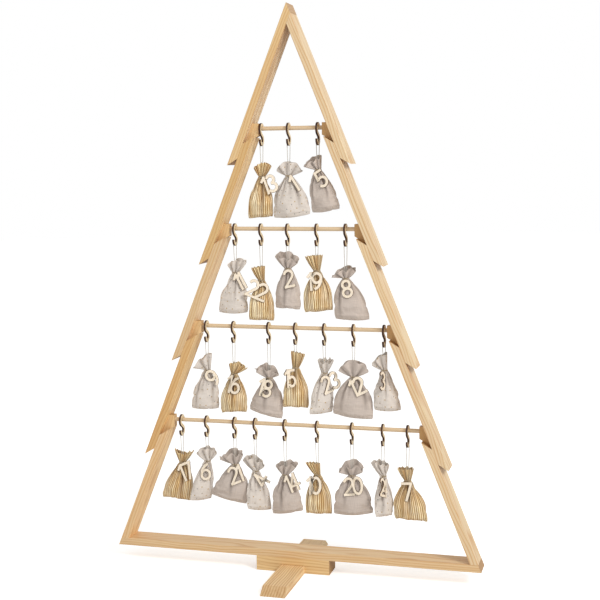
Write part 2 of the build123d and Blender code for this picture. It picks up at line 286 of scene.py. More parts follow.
def new_group(name: str, inputs: dict[str, str], outputs: dict[str, str]) -> tuple:
    """Makes an empty shader node group with its sockets.

    Args:
        name: The group's name.
        inputs: Socket kinds by input name.
        outputs: Socket kinds by output name.

    Returns:
        The tree, its bench, its input node and its output node.
    """
    tree = bpy.data.node_groups.new(name, "ShaderNodeTree")
    for way, sockets in (("INPUT", inputs), ("OUTPUT", outputs)):
        for label, kind in sockets.items():
            tree.interface.new_socket(label, in_out=way, socket_type="NodeSocket" + kind)
    bench = NodeBench(tree)
    return tree, bench, bench.add("NodeGroupInput"), bench.add("NodeGroupOutput")


class SharedGroups:
    """The effects that several finishes share, each built once."""

    def __init__(self) -> None:
        """Builds the wood grain and the weave."""
        self.grain = self.wood_grain()
        self.weave = self.cloth_weave()

    @staticmethod
    def wood_grain() -> NodeTree:
        """Builds solid wood grain: X through the board, Y across it and Z along it.

        Returns:
            The group with the outputs Colour, Roughness and Height.
        """
        ring_width, pith_depth, pith_aside = 0.0062, 0.07, 0.022
        late_share, fibre_share, streak_share, drift_share = 0.62, 0.45, 0.7, 0.5
        inputs = {"Vector": "Vector", "Seed": "Float", "Contrast": "Float"}
        inputs |= {"Pale": "Color", "Late": "Color"}
        outputs = {"Colour": "Color", "Roughness": "Float", "Height": "Float"}
        tree, bench, start, end = new_group("wood_grain", inputs, outputs)
        vector, seed = start.outputs["Vector"], start.outputs["Seed"]
        shift = bench.join(0.0, 0.0, bench.times(seed, 1.37))
        place = bench.add("ShaderNodeVectorMath", {0: vector, 1: shift}).outputs[0]
        x, y, _ = bench.split(vector)
        drift = bench.math("SUBTRACT", bench.noise(place, (6.0, 6.0, 1.7)), 0.5)
        wander = bench.math("SUBTRACT", bench.noise(place, (9.0, 14.0, 4.0)), 0.5)
        side = bench.times(bench.math("SINE", bench.times(seed, 2.3)), pith_aside)
        across = bench.scaled(drift, 0.05, bench.math("ADD", y, side))
        through = bench.scaled(wander, 0.03, bench.math("ADD", x, pith_depth))
        squares = bench.scaled(across, across, bench.times(through, through))
        rings = bench.math("DIVIDE", bench.math("SQRT", squares), ring_width)
        season = bench.math("FRACT", rings)
        late = bench.ramp(season, [(0.0, 0.12), (0.45, 0.15), (0.84, 1.0), (1.0, 0.12)])
        fibre = bench.noise(place, (900.0, 900.0, 14.0), 3.0)
        streak = bench.noise(place, (160.0, 160.0, 3.0))
        tone = bench.times(late, late_share)
        tone = bench.scaled(bench.math("SUBTRACT", fibre, 0.5), fibre_share, tone)
        tone = bench.scaled(bench.math("SUBTRACT", streak, 0.42), streak_share, tone)
        tone = bench.scaled(drift, drift_share, tone)
        tone = bench.math("MULTIPLY", tone, start.outputs["Contrast"], clamp=True)
        colour = bench.mix(tone, start.outputs["Pale"], start.outputs["Late"])
        rough = bench.scaled(fibre, 0.18, 0.42)
        height = bench.scaled(late, 0.4, bench.times(fibre, 0.6))
        bench.feed(end, {"Colour": colour, "Roughness": rough, "Height": height})
        return tree

    @staticmethod
    def cloth_weave() -> NodeTree:
        """Builds a plain weave on a flat cloth map in metres.

        Returns:
            The group with the outputs Thread, for the height, and Slub, for the uneven yarn.
        """
        inputs = {"Vector": "Vector", "Pitch": "Float"}
        outputs = {"Thread": "Float", "Slub": "Float"}
        tree, bench, start, end = new_group("cloth_weave", inputs, outputs)
        vector = start.outputs["Vector"]
        x, y, _ = bench.split(vector)
        turn = bench.math("DIVIDE", math.pi, start.outputs["Pitch"])
        warp, weft = (bench.math("SINE", bench.times(along, turn)) for along in (x, y))
        thread = bench.scaled(bench.times(warp, weft), 0.5, 0.5)
        upright = bench.noise(vector, (1100.0, 45.0, 1.0), 1.0)
        level = bench.noise(vector, (45.0, 1100.0, 1.0), 1.0)
        slub = bench.times(bench.math("ADD", upright, level), 0.5)
        bench.feed(end, {"Thread": thread, "Slub": slub})
        return tree


def new_material(name: str) -> tuple[Material, NodeBench, Node]:
    """Makes an empty material with a Principled shader.

    Args:
        name: The material's name.

    Returns:
        The material, a bench on its tree and its shader node.
    """
    material = bpy.data.materials.new(name)
    material.use_nodes = True
    material.node_tree.nodes.clear()
    bench = NodeBench(material.node_tree)
    shader = bench.add("ShaderNodeBsdfPrincipled")
    bench.add("ShaderNodeOutputMaterial", {"Surface": shader.outputs[0]})
    return material, bench, shader


def object_place(bench: NodeBench) -> NodeSocket:
    """Gives the place on the surface in the object's own frame."""
    return bench.add("ShaderNodeTexCoord").outputs["Object"]


def add_bump(bench: NodeBench, shader: Node, height: NodeSocket, depth: float) -> None:
    """Feeds a height to the shader's normal, with its depth in metres."""
    bump = bench.add("ShaderNodeBump", {"Height": height, "Distance": depth, "Strength": 1.0})
    bench.feed(shader, {"Normal": bump.outputs[0]})


class GrainRun(Enum):
    """Which way the grain of a board runs, as the turn that brings it upright."""

    LEANING = (0.0, LEG_ANGLE, 0.0)
    ACROSS = (0.0, -math.pi / 2, 0.0)
    FORE_AND_AFT = (math.pi / 2, 0.0, 0.0)


@dataclass(frozen=True)
class WoodFinish:
    """Bare sanded wood with the grain along the piece.

    right_side_painted_light is the colour painted on the right-hand pieces for how the light falls
    there: a painted highlight on the lit right-hand boards and painted shade on the shaded rod
    blocks.
    wide_face_painted_light is the wide faces' colour, painted paler for the key light that falls on
    them.
    left_on_top marks the tier whose left board runs through at the apex, and end_grain_and_shade is
    how much the cut ends darken, partly for the end grain's own darker tone and partly as painted
    shade on the cut ends.
    """

    name: str
    seed: float
    pale: str
    late: str
    run: GrainRun
    contrast: float = 1.0
    centre: float = 0.0
    right_side_painted_light: str = ""
    wide_face_painted_light: str = ""
    left_on_top: bool = False
    end_grain_and_shade: float = 0.75
    side_seed: float = 4.3

    def inner_side(self, bench: NodeBench, x: NodeSocket, z: NodeSocket) -> NodeSocket:
        """Gives a value above 0 beyond the left board's inner face, where the right one butts."""
        level = bench.scaled(z, -math.sin(LEG_ANGLE), self.centre - BOARD_THICKNESS / 2)
        return bench.scaled(x, math.cos(LEG_ANGLE), level)

    def material(self, groups: SharedGroups) -> Material:
        """Makes the finish from the shared grain.

        Args:
            groups: The shared node groups.

        Returns:
            The new material.
        """
        material, bench, shader = new_material(self.name)
        source = bench.add("ShaderNodeTexCoord")
        place, normal = source.outputs["Object"], source.outputs["Normal"]
        inputs: dict = {"Seed": self.seed, "Contrast": self.contrast}
        inputs |= {"Pale": linear(self.pale), "Late": linear(self.late)}
        if self.run is GrainRun.LEANING:
            x, y, z = bench.split(place)
            side = bench.math("SIGN", self.inner_side(bench, x, z) if self.left_on_top else x)
            place = bench.join(bench.times(x, side), y, z)
            inputs["Seed"] = bench.scaled(side, self.side_seed, self.seed)
            x, y, z = bench.split(normal)
            normal = bench.join(bench.times(x, side), y, z)
            # Painted light: the wide faces take wide_face_painted_light, painted paler for the key
            # light that falls on them.
            wide = bench.math("LESS_THAN", bench.math("ABSOLUTE", y), 0.5)
            pale = bench.mix(wide, linear(self.pale), linear(self.wide_face_painted_light or self.pale))
            # Painted light: the right-hand pieces take right_side_painted_light, a painted
            # highlight on the lit boards and painted shade on the rod blocks.
            right = bench.math("GREATER_THAN", side, 0.0)
            inputs["Pale"] = bench.mix(right, pale, linear(self.right_side_painted_light or self.pale))
        turn = {"Rotation": self.run.value}
        moved = {"Vector": place, "Location": (-self.centre, 0.0, 0.0)} | turn
        inputs["Vector"] = bench.add("ShaderNodeMapping", moved).outputs[0]
        grain = bench.add("ShaderNodeGroup", inputs, node_tree=groups.grain)
        # The cut ends darken towards the latewood: partly the end grain's own darker tone, partly
        # painted shade.
        faced = bench.add("ShaderNodeMapping", {"Vector": normal} | turn, vector_type="VECTOR")
        along = bench.math("ABSOLUTE", bench.split(faced.outputs[0])[2])
        cut = bench.times(bench.ramp(along, [(0.3, 0.0), (0.6, 1.0)]), self.end_grain_and_shade)
        dark = tuple(END_GRAIN_AND_PAINTED_SHADE * channel for channel in linear(self.late)[:3]) + (1.0,)
        colour = bench.mix(cut, grain.outputs["Colour"], dark)
        bench.feed(shader, {"Base Color": colour, "Roughness": grain.outputs["Roughness"]})
        add_bump(bench, shader, grain.outputs["Height"], GRAIN_RELIEF)
        return material


@dataclass(frozen=True)
class BurntEdgeFinish:
    """The scorched rim that a laser leaves on plywood."""

    name: str
    dark: str
    light: str
    ply_relief: float = 0.0002

    def material(self) -> Material:
        """Makes the scorched rim and returns its material."""
        material, bench, shader = new_material(self.name)
        place = object_place(bench)
        plies = bench.noise(place, (900.0, 120.0, 120.0), 2.0)
        soot = bench.noise(place, (140.0, 140.0, 140.0), 3.0)
        tone = bench.ramp(bench.times(plies, soot), [(0.12, 0.0), (0.42, 1.0)])
        colour = bench.mix(tone, linear(self.dark), linear(self.light))
        rough = bench.scaled(soot, 0.3, 0.55)
        bench.feed(shader, {"Base Color": colour, "Roughness": rough})
        add_bump(bench, shader, plies, self.ply_relief)
        return material


@dataclass(frozen=True)
class CordFinish:
    """Twisted cotton cord or twine."""

    name: str
    light: str
    shade: str
    lay: float = 0.0022
    slant: float = 1.4
    strand_relief: float = 0.0003

    def material(self) -> Material:
        """Makes the twisted cotton and returns its material."""
        material, bench, shader = new_material(self.name)
        place = object_place(bench)
        x, _, z = bench.split(place)
        strand = bench.wave(bench.scaled(x, self.slant, z), self.lay)
        colour = bench.mix(strand, linear(self.shade), linear(self.light))
        fuzz = bench.scaled(bench.noise(place, (700.0, 700.0, 700.0)), 0.2, 0.75)
        bench.feed(shader, {"Base Color": colour, "Roughness": fuzz})
        add_bump(bench, shader, strand, self.strand_relief)
        return material


@dataclass(frozen=True)
class SteelFinish:
    """Zinc plated screws."""

    name: str = "zinc_plated_steel"
    dark: str = "8E9196"
    light: str = "C9CCD1"

    def material(self) -> Material:
        """Makes the brushed zinc and returns its material."""
        material, bench, shader = new_material(self.name)
        place = object_place(bench)
        cloud = bench.noise(place, (400.0, 400.0, 400.0), 3.0)
        colour = bench.mix(cloud, linear(self.dark), linear(self.light))
        rough = bench.scaled(cloud, 0.25, 0.25)
        bench.feed(shader, {"Base Color": colour, "Roughness": rough, "Metallic": 1.0})
        return material


class Cloth(Enum):
    """The three cloths, by the name of their finish slot."""

    GOLD = "gold_fabric"
    DOTTED = "dotted_fabric"
    PLAIN = "plain_fabric"


@dataclass(frozen=True)
class ClothFinish:
    """One woven cloth with its print."""

    cloth: Cloth
    ground: str
    shade: str
    # fold is the colour of the painted shade in the cloth's folds, and fold_shade_strength how far
    # it darkens.
    fold: str
    print_colour: str = ""
    second_print: str = ""
    thread_pitch: float = 0.0007
    dot_spacing: float = 0.0160
    dot_radius: float = 0.0015
    stripe_pitch: float = 0.0046
    dullest: float = 0.46
    fold_shade_strength: float = 0.74
    weave_relief: float = 0.0003
    foil_relief: float = 0.0009
    foil_gloss: float = 0.38
    foil_metal: float = 0.35
    stripe_wobble: float = 0.005
    sheen: float = 0.15

    def material(self, groups: SharedGroups) -> Material:
        """Makes the cloth.

        Args:
            groups: The shared node groups.

        Returns:
            The new material.
        """
        material, bench, shader = new_material(self.cloth.value + "_cloth")
        flat = bench.add("ShaderNodeUVMap", uv_map=CLOTH_MAP).outputs[0]
        fold = bench.add("ShaderNodeAttribute", attribute_name=FOLD_SHADE_MASK).outputs["Fac"]
        inputs = {"Vector": flat, "Pitch": self.thread_pitch}
        weave = bench.add("ShaderNodeGroup", inputs, node_tree=groups.weave)
        slub = bench.ramp(weave.outputs["Slub"], [(0.3, 0.0), (0.7, 1.0)])
        colour = bench.mix(slub, linear(self.shade), linear(self.ground))
        rough = bench.scaled(slub, 0.12, 0.8)
        height, relief = weave.outputs["Thread"], self.weave_relief
        if self.cloth is Cloth.DOTTED:
            colour = self.add_dots(bench, flat, colour)
        if self.cloth is Cloth.GOLD:
            # Partly painted light: the pale foil on the rib crests is the foil print and also
            # painted highlight, and the darker gold between them is painted shade in the grooves.
            foil, height = self.add_stripes(bench, flat)
            relief = self.foil_relief
            colour = bench.mix(foil, colour, self.gold_colour(bench, flat))
            rough = bench.scaled(foil, -self.foil_gloss, rough)
            bench.feed(shader, {"Metallic": bench.times(foil, self.foil_metal)})
        # Painted shade: the cloth darkens towards its fold colour as deep as the fold mask says.
        colour = bench.mix(bench.times(fold, self.fold_shade_strength), colour, linear(self.fold))
        bench.feed(shader, {"Base Color": colour, "Roughness": rough, "Sheen Weight": self.sheen})
        add_bump(bench, shader, height, relief)
        return material

    def add_dots(self, bench: NodeBench, flat: NodeSocket, colour: NodeSocket) -> NodeSocket:
        """Prints scattered dots in two tones and returns the colour socket."""
        inputs = {"Vector": flat, "Scale": 1 / self.dot_spacing, "Randomness": 0.75}
        cells = bench.add("ShaderNodeTexVoronoi", inputs, voronoi_dimensions="2D")
        edge = self.dot_radius / self.dot_spacing
        mask = bench.ramp(cells.outputs["Distance"], [(edge * 0.8, 1.0), (edge * 1.2, 0.0)])
        pick_tone = bench.add("ShaderNodeSeparateColor", {0: cells.outputs["Color"]}).outputs[0]
        tone = bench.ramp(pick_tone, [(0.45, 0.0), (0.55, 1.0)])
        dot = bench.mix(tone, linear(self.print_colour), linear(self.second_print))
        return bench.mix(mask, colour, dot)

    def add_stripes(self, bench: NodeBench, flat: NodeSocket) -> tuple[NodeSocket, NodeSocket]:
        """Lays fine foil stripes on the crests of the ribs' bump and returns their mask and height;
        the pale foil is partly painted highlight on the crests.
        """
        wobble = bench.noise(flat, (70.0, 7.0, 1.0))
        along = bench.scaled(wobble, self.stripe_wobble, bench.split(flat)[0])
        height = bench.wave(along, self.stripe_pitch)
        streak = bench.math("SUBTRACT", bench.noise(flat, (80.0, 8.0, 1.0)), 0.42)
        worn = bench.scaled(streak, 1.1, height)
        return bench.ramp(worn, [(0.18, 0.0), (0.54, 1.0)]), height

    def gold_colour(self, bench: NodeBench, flat: NodeSocket) -> NodeSocket:
        """Varies the foil between two golds, dulls it in patches and returns the colour."""
        worn = bench.noise(flat, (90.0, 14.0, 1.0), 3.0)
        shine = bench.ramp(worn, [(0.35, 0.0), (0.65, 1.0)])
        foil = bench.mix(shine, linear(self.print_colour), linear(self.second_print))
        patches = bench.noise(flat, (24.0, 11.0, 1.0), 1.0)
        dull = bench.ramp(patches, [(0.42, 0.0), (0.6, self.dullest)])
        return bench.mix(dull, foil, linear(self.ground))


@dataclass(frozen=True)
class Finishes:
    """Every material of the calendar, made once."""

    boards: dict[str, Material]
    rod: Material
    plywood: Material
    plywood_rim: Material
    number: Material
    number_rim: Material
    cord: Material
    tie: Material
    steel: Material
    cloths: dict[Cloth, Material]


def make_finishes() -> Finishes:
    """Makes all the materials.

    Returns:
        The finishes by use.
    """
    groups = SharedGroups()
    boards = {}
    outer_face = APEX_HEIGHT * math.sin(LEG_ANGLE)
    edges = ("E4C592", "D9B57C", "DCC096", "DCB47A", "E7C596")
    # The wide faces' colours are painted light: paler than the edges for the key light on them.
    faces = ("FFE9C4", "F0D2A0", "F3D5AA", "F6D398", "FAD8A5")
    lates = ("C68D49", "BF8543", "C9924F", "C08440", "C98F4B")
    for tier, (edge, face, late) in enumerate(zip(edges, faces, lates), start=1):
        centre = outer_face - (tier - 0.5) * BOARD_THICKNESS
        name = f"tier_{tier}_boards"
        # right_side_painted_light E6D0AA is a painted highlight: the right-hand boards are painted
        # paler for the light on that side.
        finish = WoodFinish(
            f"pine_tier_{tier}", 1.7 * tier, edge, late, GrainRun.LEANING, 0.9, centre,
            right_side_painted_light="E6D0AA", wide_face_painted_light=face, left_on_top=tier == 1,
        )
        boards[name] = finish.material(groups)
    leaning, across, lengthwise = GrainRun.LEANING, GrainRun.ACROSS, GrainRun.FORE_AND_AFT
    block_centre = outer_face - 0.05
    cross = WoodFinish("pine_cross", 7.4, "E8C690", "BF8B4E", across, 0.9, -0.02)
    others = {
        # The rod blocks' right-hand colour C99F68 is painted shade, for the shadow the boards cast
        # on them.
        "rod_blocks": WoodFinish(
            "pine_blocks", 9.1, "E6C592", "C4904F", leaning, 0.6, block_centre, "C99F68"
        ),
        "base_rail": WoodFinish("pine_rail", 3.3, "E4C598", "C58F52", across, 1.0, -0.045),
        "foot_sole": WoodFinish(
            "pine_sole", 5.9, "F6D9A8", "BE864A", lengthwise, 1.15, end_grain_and_shade=0.35
        ),
        "foot_top_board": cross,
        "foot_side_blocks": cross,
    }
    boards |= {name: finish.material(groups) for name, finish in others.items()}
    rod = WoodFinish("beech_rod", 2.2, "DEC5A2", "CBAA80", across, 0.8, -0.6)
    plywood = WoodFinish("birch_plywood", 6.1, "EAD5AE", "CDAA78", leaning, 0.7, 0.3, end_grain_and_shade=0.0)
    number = WoodFinish("number_plywood", 4.4, "F6E9D6", "E2CDAA", leaning, 0.8, 0.3, end_grain_and_shade=0.0)
    # The third colour of each cloth is the painted shade in its folds.
    linen = ClothFinish(Cloth.PLAIN, "DBCDC2", "C2B4A9", "6F6057")
    dotted = ClothFinish(Cloth.DOTTED, "EEE5DC", "D6CBC0", "85766A", "BC9C66", "A8A19B")
    # The gold's pale foil colours partly stand for painted highlights on the rib crests.
    gold = ClothFinish(Cloth.GOLD, "C08A42", "8F6125", "74491C", "FFF4D4", "F6DFAA")
    cloths = {finish.cloth: finish.material(groups) for finish in (linen, dotted, gold)}
    return Finishes(
        boards=boards,
        rod=rod.material(groups),
        plywood=plywood.material(groups),
        number=number.material(groups),
        plywood_rim=BurntEdgeFinish("scorched_rim", "1B0D05", "5A3213").material(),
        number_rim=BurntEdgeFinish("toasted_rim", "2E1B0D", "6E4824").material(),
        cord=CordFinish("white_cotton", "E0DDD6", "B4AEA2").material(),
        tie=CordFinish("beige_twine", "CDBB9F", "9C886A").material(),
        steel=SteelFinish().material(),
        cloths=cloths,
    )


@dataclass
class Woodwork:
    """The tree frame, rods, blocks and foot, which keep their own solids."""

    finishes: Finishes

    def dress(self) -> None:
        """Puts the pine, dowel and steel finishes on the frame's nodes."""
        wanted = dict(self.finishes.boards)
        wanted["hanging_rods"] = self.finishes.rod
        wanted["foot_screws"] = self.finishes.steel
        for name, material in wanted.items():
            for slot in frame["nodes"][name].material_slots:
                slot.material = material
            log.info("dressed %s with %s", name, material.name)


@dataclass
class HookPlate:
    """The S-shaped plywood hook, modelled once and copied for each day."""

    finishes: Finishes
    thickness: float = 0.005
    band: float = 0.0076
    loop_drop: float = 0.0022
    loop_radius: float = 0.0113
    cradle_drop: float = 0.0274
    cradle_radius: float = 0.0102
    loop_tip: float = math.radians(-10)
    cradle_tip: float = math.radians(-188)
    stem_turn: float = math.radians(58.559)
    steps: int = 24
    edge_round: float = 0.0004
    sharp_bend: float = 50
    smooth_bend: float = 40
    master: Object | None = field(default=None, init=False)

    def build(self) -> None:
        """Models the master hook about the rod's axis, at the origin."""
        deselect_all()
        loop_centre = Vector((0, 0, -self.loop_drop))
        cradle_centre = Vector((0, 0, -self.cradle_drop))
        bpy.ops.mesh.primitive_plane_add(size=1, location=(0, 0, 0))
        self.master = bpy.context.object
        self.master.name = "hook_master"
        self.shape_section(loop_centre)
        stem_end = cradle_centre + self.on_circle(self.cradle_radius, self.stem_turn)
        stem_start = loop_centre + self.on_circle(self.loop_radius, math.pi + self.stem_turn)
        with editing(self.master):
            sweep = math.pi + self.stem_turn - self.loop_tip
            bpy.ops.mesh.spin(steps=self.steps, angle=-sweep, center=loop_centre, axis=(1, 0, 0))
            stem = {"value": stem_end - stem_start}
            bpy.ops.mesh.extrude_region_move(TRANSFORM_OT_translate=stem)
            sweep = self.stem_turn - self.cradle_tip
            bpy.ops.mesh.spin(steps=self.steps, angle=sweep, center=cradle_centre, axis=(1, 0, 0))
        self.close_ends()

    @staticmethod
    def on_circle(radius: float, angle: float) -> Vector:
        """Gives a point on a circle in the hook's plane, from the back upwards."""
        return Vector((0, radius * math.cos(angle), radius * math.sin(angle)))

    def shape_section(self, loop_centre: Vector) -> None:
        """Sets the plane's corners to the band's section at the loop's open tip.

        Args:
            loop_centre: The middle of the loop.
        """
        along = self.on_circle(1.0, self.loop_tip)
        for point in self.master.data.vertices:
            out = self.loop_radius + point.co.y * self.band
            point.co = loop_centre + along * out + Vector((point.co.x * self.thickness, 0, 0))
        with editing(self.master):
            bpy.ops.mesh.delete(type="ONLY_FACE")

    def close_ends(self) -> None:
        """Closes both tips, rounds the edges and sorts face from scorched rim."""
        clean_mesh(self.master)
        with editing(self.master, "DESELECT"):
            bpy.ops.mesh.select_mode(type="EDGE")
            bpy.ops.mesh.select_non_manifold()
            bpy.ops.mesh.fill_holes(sides=4)
            bpy.ops.mesh.select_all(action="SELECT")
            bpy.ops.mesh.normals_make_consistent(inside=False)
        round_edges(self.master, self.edge_round, self.sharp_bend)
        mesh = self.master.data
        set_materials(mesh, self.finishes.plywood, self.finishes.plywood_rim)
        for face in mesh.polygons:
            face.material_index = 0 if abs(face.normal.x) > 0.95 else 1
        bpy.ops.object.shade_smooth_by_angle(angle=math.radians(self.smooth_bend))

    def place(self, day: int, axis: Vector) -> Object:
        """Copies the master to one day's place on its rod.

        Args:
            day: The day's number.
            axis: The point of the rod's axis that the hook hangs on.

        Returns:
            The day's hook.
        """
        hook = add_object(f"hook_plate_{day:02d}", self.master.data.copy())
        hook.data.transform(Matrix.Translation(axis))
        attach(hook, f"day_{day:02d}")
        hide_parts(f"hook_{day:02d}")
        return hook

    def discard_master(self) -> None:
        """Removes the master once every copy is made."""
        bpy.data.objects.remove(self.master)


@dataclass(frozen=True)
class PouchStyle:
    """How one day's pouch hangs.

    mouth is where the ruffle's left and right ends lie from the hook and depth is half the open
    mouth's depth, in metres. rim_tilt raises the ruffle's right end, nod tips its mouth to the
    front and base_slope raises the bottom's right corner, in degrees. stand is the length of
    cloth above the neck, in metres, and dome is how far the rim drops from middle to ends.
    """

    day: int
    cloth: Cloth
    mouth: tuple[float, float]
    rim_tilt: float
    nod: float
    base_slope: float
    depth: float
    stand: float
    dome: float


GOLD, DOTTED, PLAIN = Cloth.GOLD, Cloth.DOTTED, Cloth.PLAIN

STYLES = (
    PouchStyle(13, GOLD, (-0.021, 0.026), 12, 0, 2, 0.008, 0.033, 1.2),
    PouchStyle(1, DOTTED, (-0.031, 0.036), 0, 5, 6, 0.007, 0.034, 1.1),
    PouchStyle(5, PLAIN, (-0.036, 0.009), 6, 25, 8, 0.014, 0.029, 0.6),
    PouchStyle(11, DOTTED, (-0.021, 0.030), 18, 10, 0, 0.010, 0.033, 0.9),
    PouchStyle(22, GOLD, (-0.027, 0.010), 3, 5, 0, 0.009, 0.033, 0.3),
    PouchStyle(2, PLAIN, (-0.033, 0.030), -14, 26, -2, 0.015, 0.033, 0.6),
    PouchStyle(19, GOLD, (-0.031, 0.016), 3, 0, 4, 0.009, 0.036, 0.2),
    PouchStyle(8, PLAIN, (-0.036, 0.027), 8, 20, 0, 0.012, 0.025, 0.6),
    PouchStyle(9, DOTTED, (-0.038, 0.013), 18, 12, 0, 0.011, 0.034, 0.9),
    PouchStyle(16, GOLD, (-0.014, 0.036), 11, 5, 5, 0.008, 0.030, 1.0),
    PouchStyle(18, PLAIN, (-0.038, 0.026), -20, 22, -12, 0.012, 0.030, 0.8),
    PouchStyle(15, GOLD, (-0.013, 0.024), -8, 0, 0, 0.009, 0.037, 0.3),
    PouchStyle(23, DOTTED, (-0.018, 0.024), 0, 20, 0, 0.013, 0.027, -0.4),
    PouchStyle(12, PLAIN, (-0.040, 0.038), 0, 4, -4, 0.008, 0.040, 1.1),
    PouchStyle(3, DOTTED, (-0.032, 0.010), 20, 10, 0, 0.010, 0.035, 0.9),
    PouchStyle(17, GOLD, (-0.022, 0.032), -10, 5, -8, 0.009, 0.021, -0.8),
    PouchStyle(6, DOTTED, (-0.030, 0.027), 0, 12, -3, 0.008, 0.034, 1.1),
    PouchStyle(21, PLAIN, (-0.042, 0.022), -6, 22, -10, 0.014, 0.034, 0.9),
    PouchStyle(4, DOTTED, (-0.034, 0.026), -22, 15, -9, 0.011, 0.034, 0.9),
    PouchStyle(14, PLAIN, (-0.026, 0.034), 8, 20, 10, 0.012, 0.030, 0.4),
    PouchStyle(10, GOLD, (-0.030, 0.008), -4, 0, 0, 0.009, 0.029, 0.2),
    PouchStyle(20, PLAIN, (-0.035, 0.030), 0, 24, 4, 0.014, 0.033, 1.1),
    PouchStyle(24, DOTTED, (-0.030, 0.016), -14, 14, -10, 0.011, 0.035, 0.7),
    PouchStyle(7, GOLD, (-0.026, 0.016), 0, 8, 0, 0.009, 0.029, 0.1),
)


@dataclass(frozen=True)
class Ring:
    """One level of a pouch: its middle, half width, half depth and turn about the vertical."""

    middle: Vector
    half_width: float
    half_depth: float
    turn: float


@dataclass(frozen=True)
class Tuck:
    """One fold of the gathered cloth, running out from the tied neck."""

    angle: float
    half_angle: float
    depth: float
    reach: float


def level_axes(turn: float) -> tuple[Vector, Vector]:
    """Gives the wide and the deep direction of a ring with this turn."""
    sine, cosine = math.sin(turn), math.cos(turn)
    return Vector((cosine, sine, 0)), Vector((-sine, cosine, 0))


def between(first: float, second: float, part: float) -> float:
    """Gives the value at a part of the way from a first to a second one."""
    return first + (second - first) * part


def ring_at(points: list[Vector], level: float, turn: float | None = None) -> Ring:
    """Measures the points of a solid at one level.

    Args:
        points: The solid's points.
        level: The height to measure at.
        turn: The turn of the wide direction, or None to find it from the points.

    Returns:
        The ring at that level.
    """
    near = [p for p in points if abs(p.z - level) < LEVEL_TOLERANCE]
    middle = sum(near, Vector()) / len(near)
    offsets = [p - middle for p in near]
    if turn is None:
        xx = sum(o.x * o.x for o in offsets)
        yy = sum(o.y * o.y for o in offsets)
        xy = sum(o.x * o.y for o in offsets)
        turn = 0.5 * math.atan2(2 * xy, xx - yy)
    wide = [o.x * math.cos(turn) + o.y * math.sin(turn) for o in offsets]
    deep = [o.y * math.cos(turn) - o.x * math.sin(turn) for o in offsets]
    slide = (max(wide) + min(wide)) / 2
    drift = (max(deep) + min(deep)) / 2
    across, back = level_axes(turn)
    middle += across * slide
    middle += back * drift
    return Ring(middle, (max(wide) - min(wide)) / 2, (max(deep) - min(deep)) / 2, turn)


def smooth_step(value: float) -> float:
    """Eases a value from 0 to 1."""
    value = min(max(value, 0.0), 1.0)
    return value * value * (3 - 2 * value)


@dataclass(frozen=True)
class Gather:
    """How a cloth gathers: how long its shoulders stay wide, its pleats and its stiffness."""

    fullness: float
    pleat_counts: tuple[int, int, int]
    pleat_depth: float
    stiffness: float


GATHERS = {
    GOLD: Gather(1.75, (11, 12, 13), 0.0028, 3.0),
    DOTTED: Gather(1.65, (6, 7, 8), 0.0042, 1.0),
    PLAIN: Gather(1.8, (6, 7, 8), 0.0042, 1.0),
}


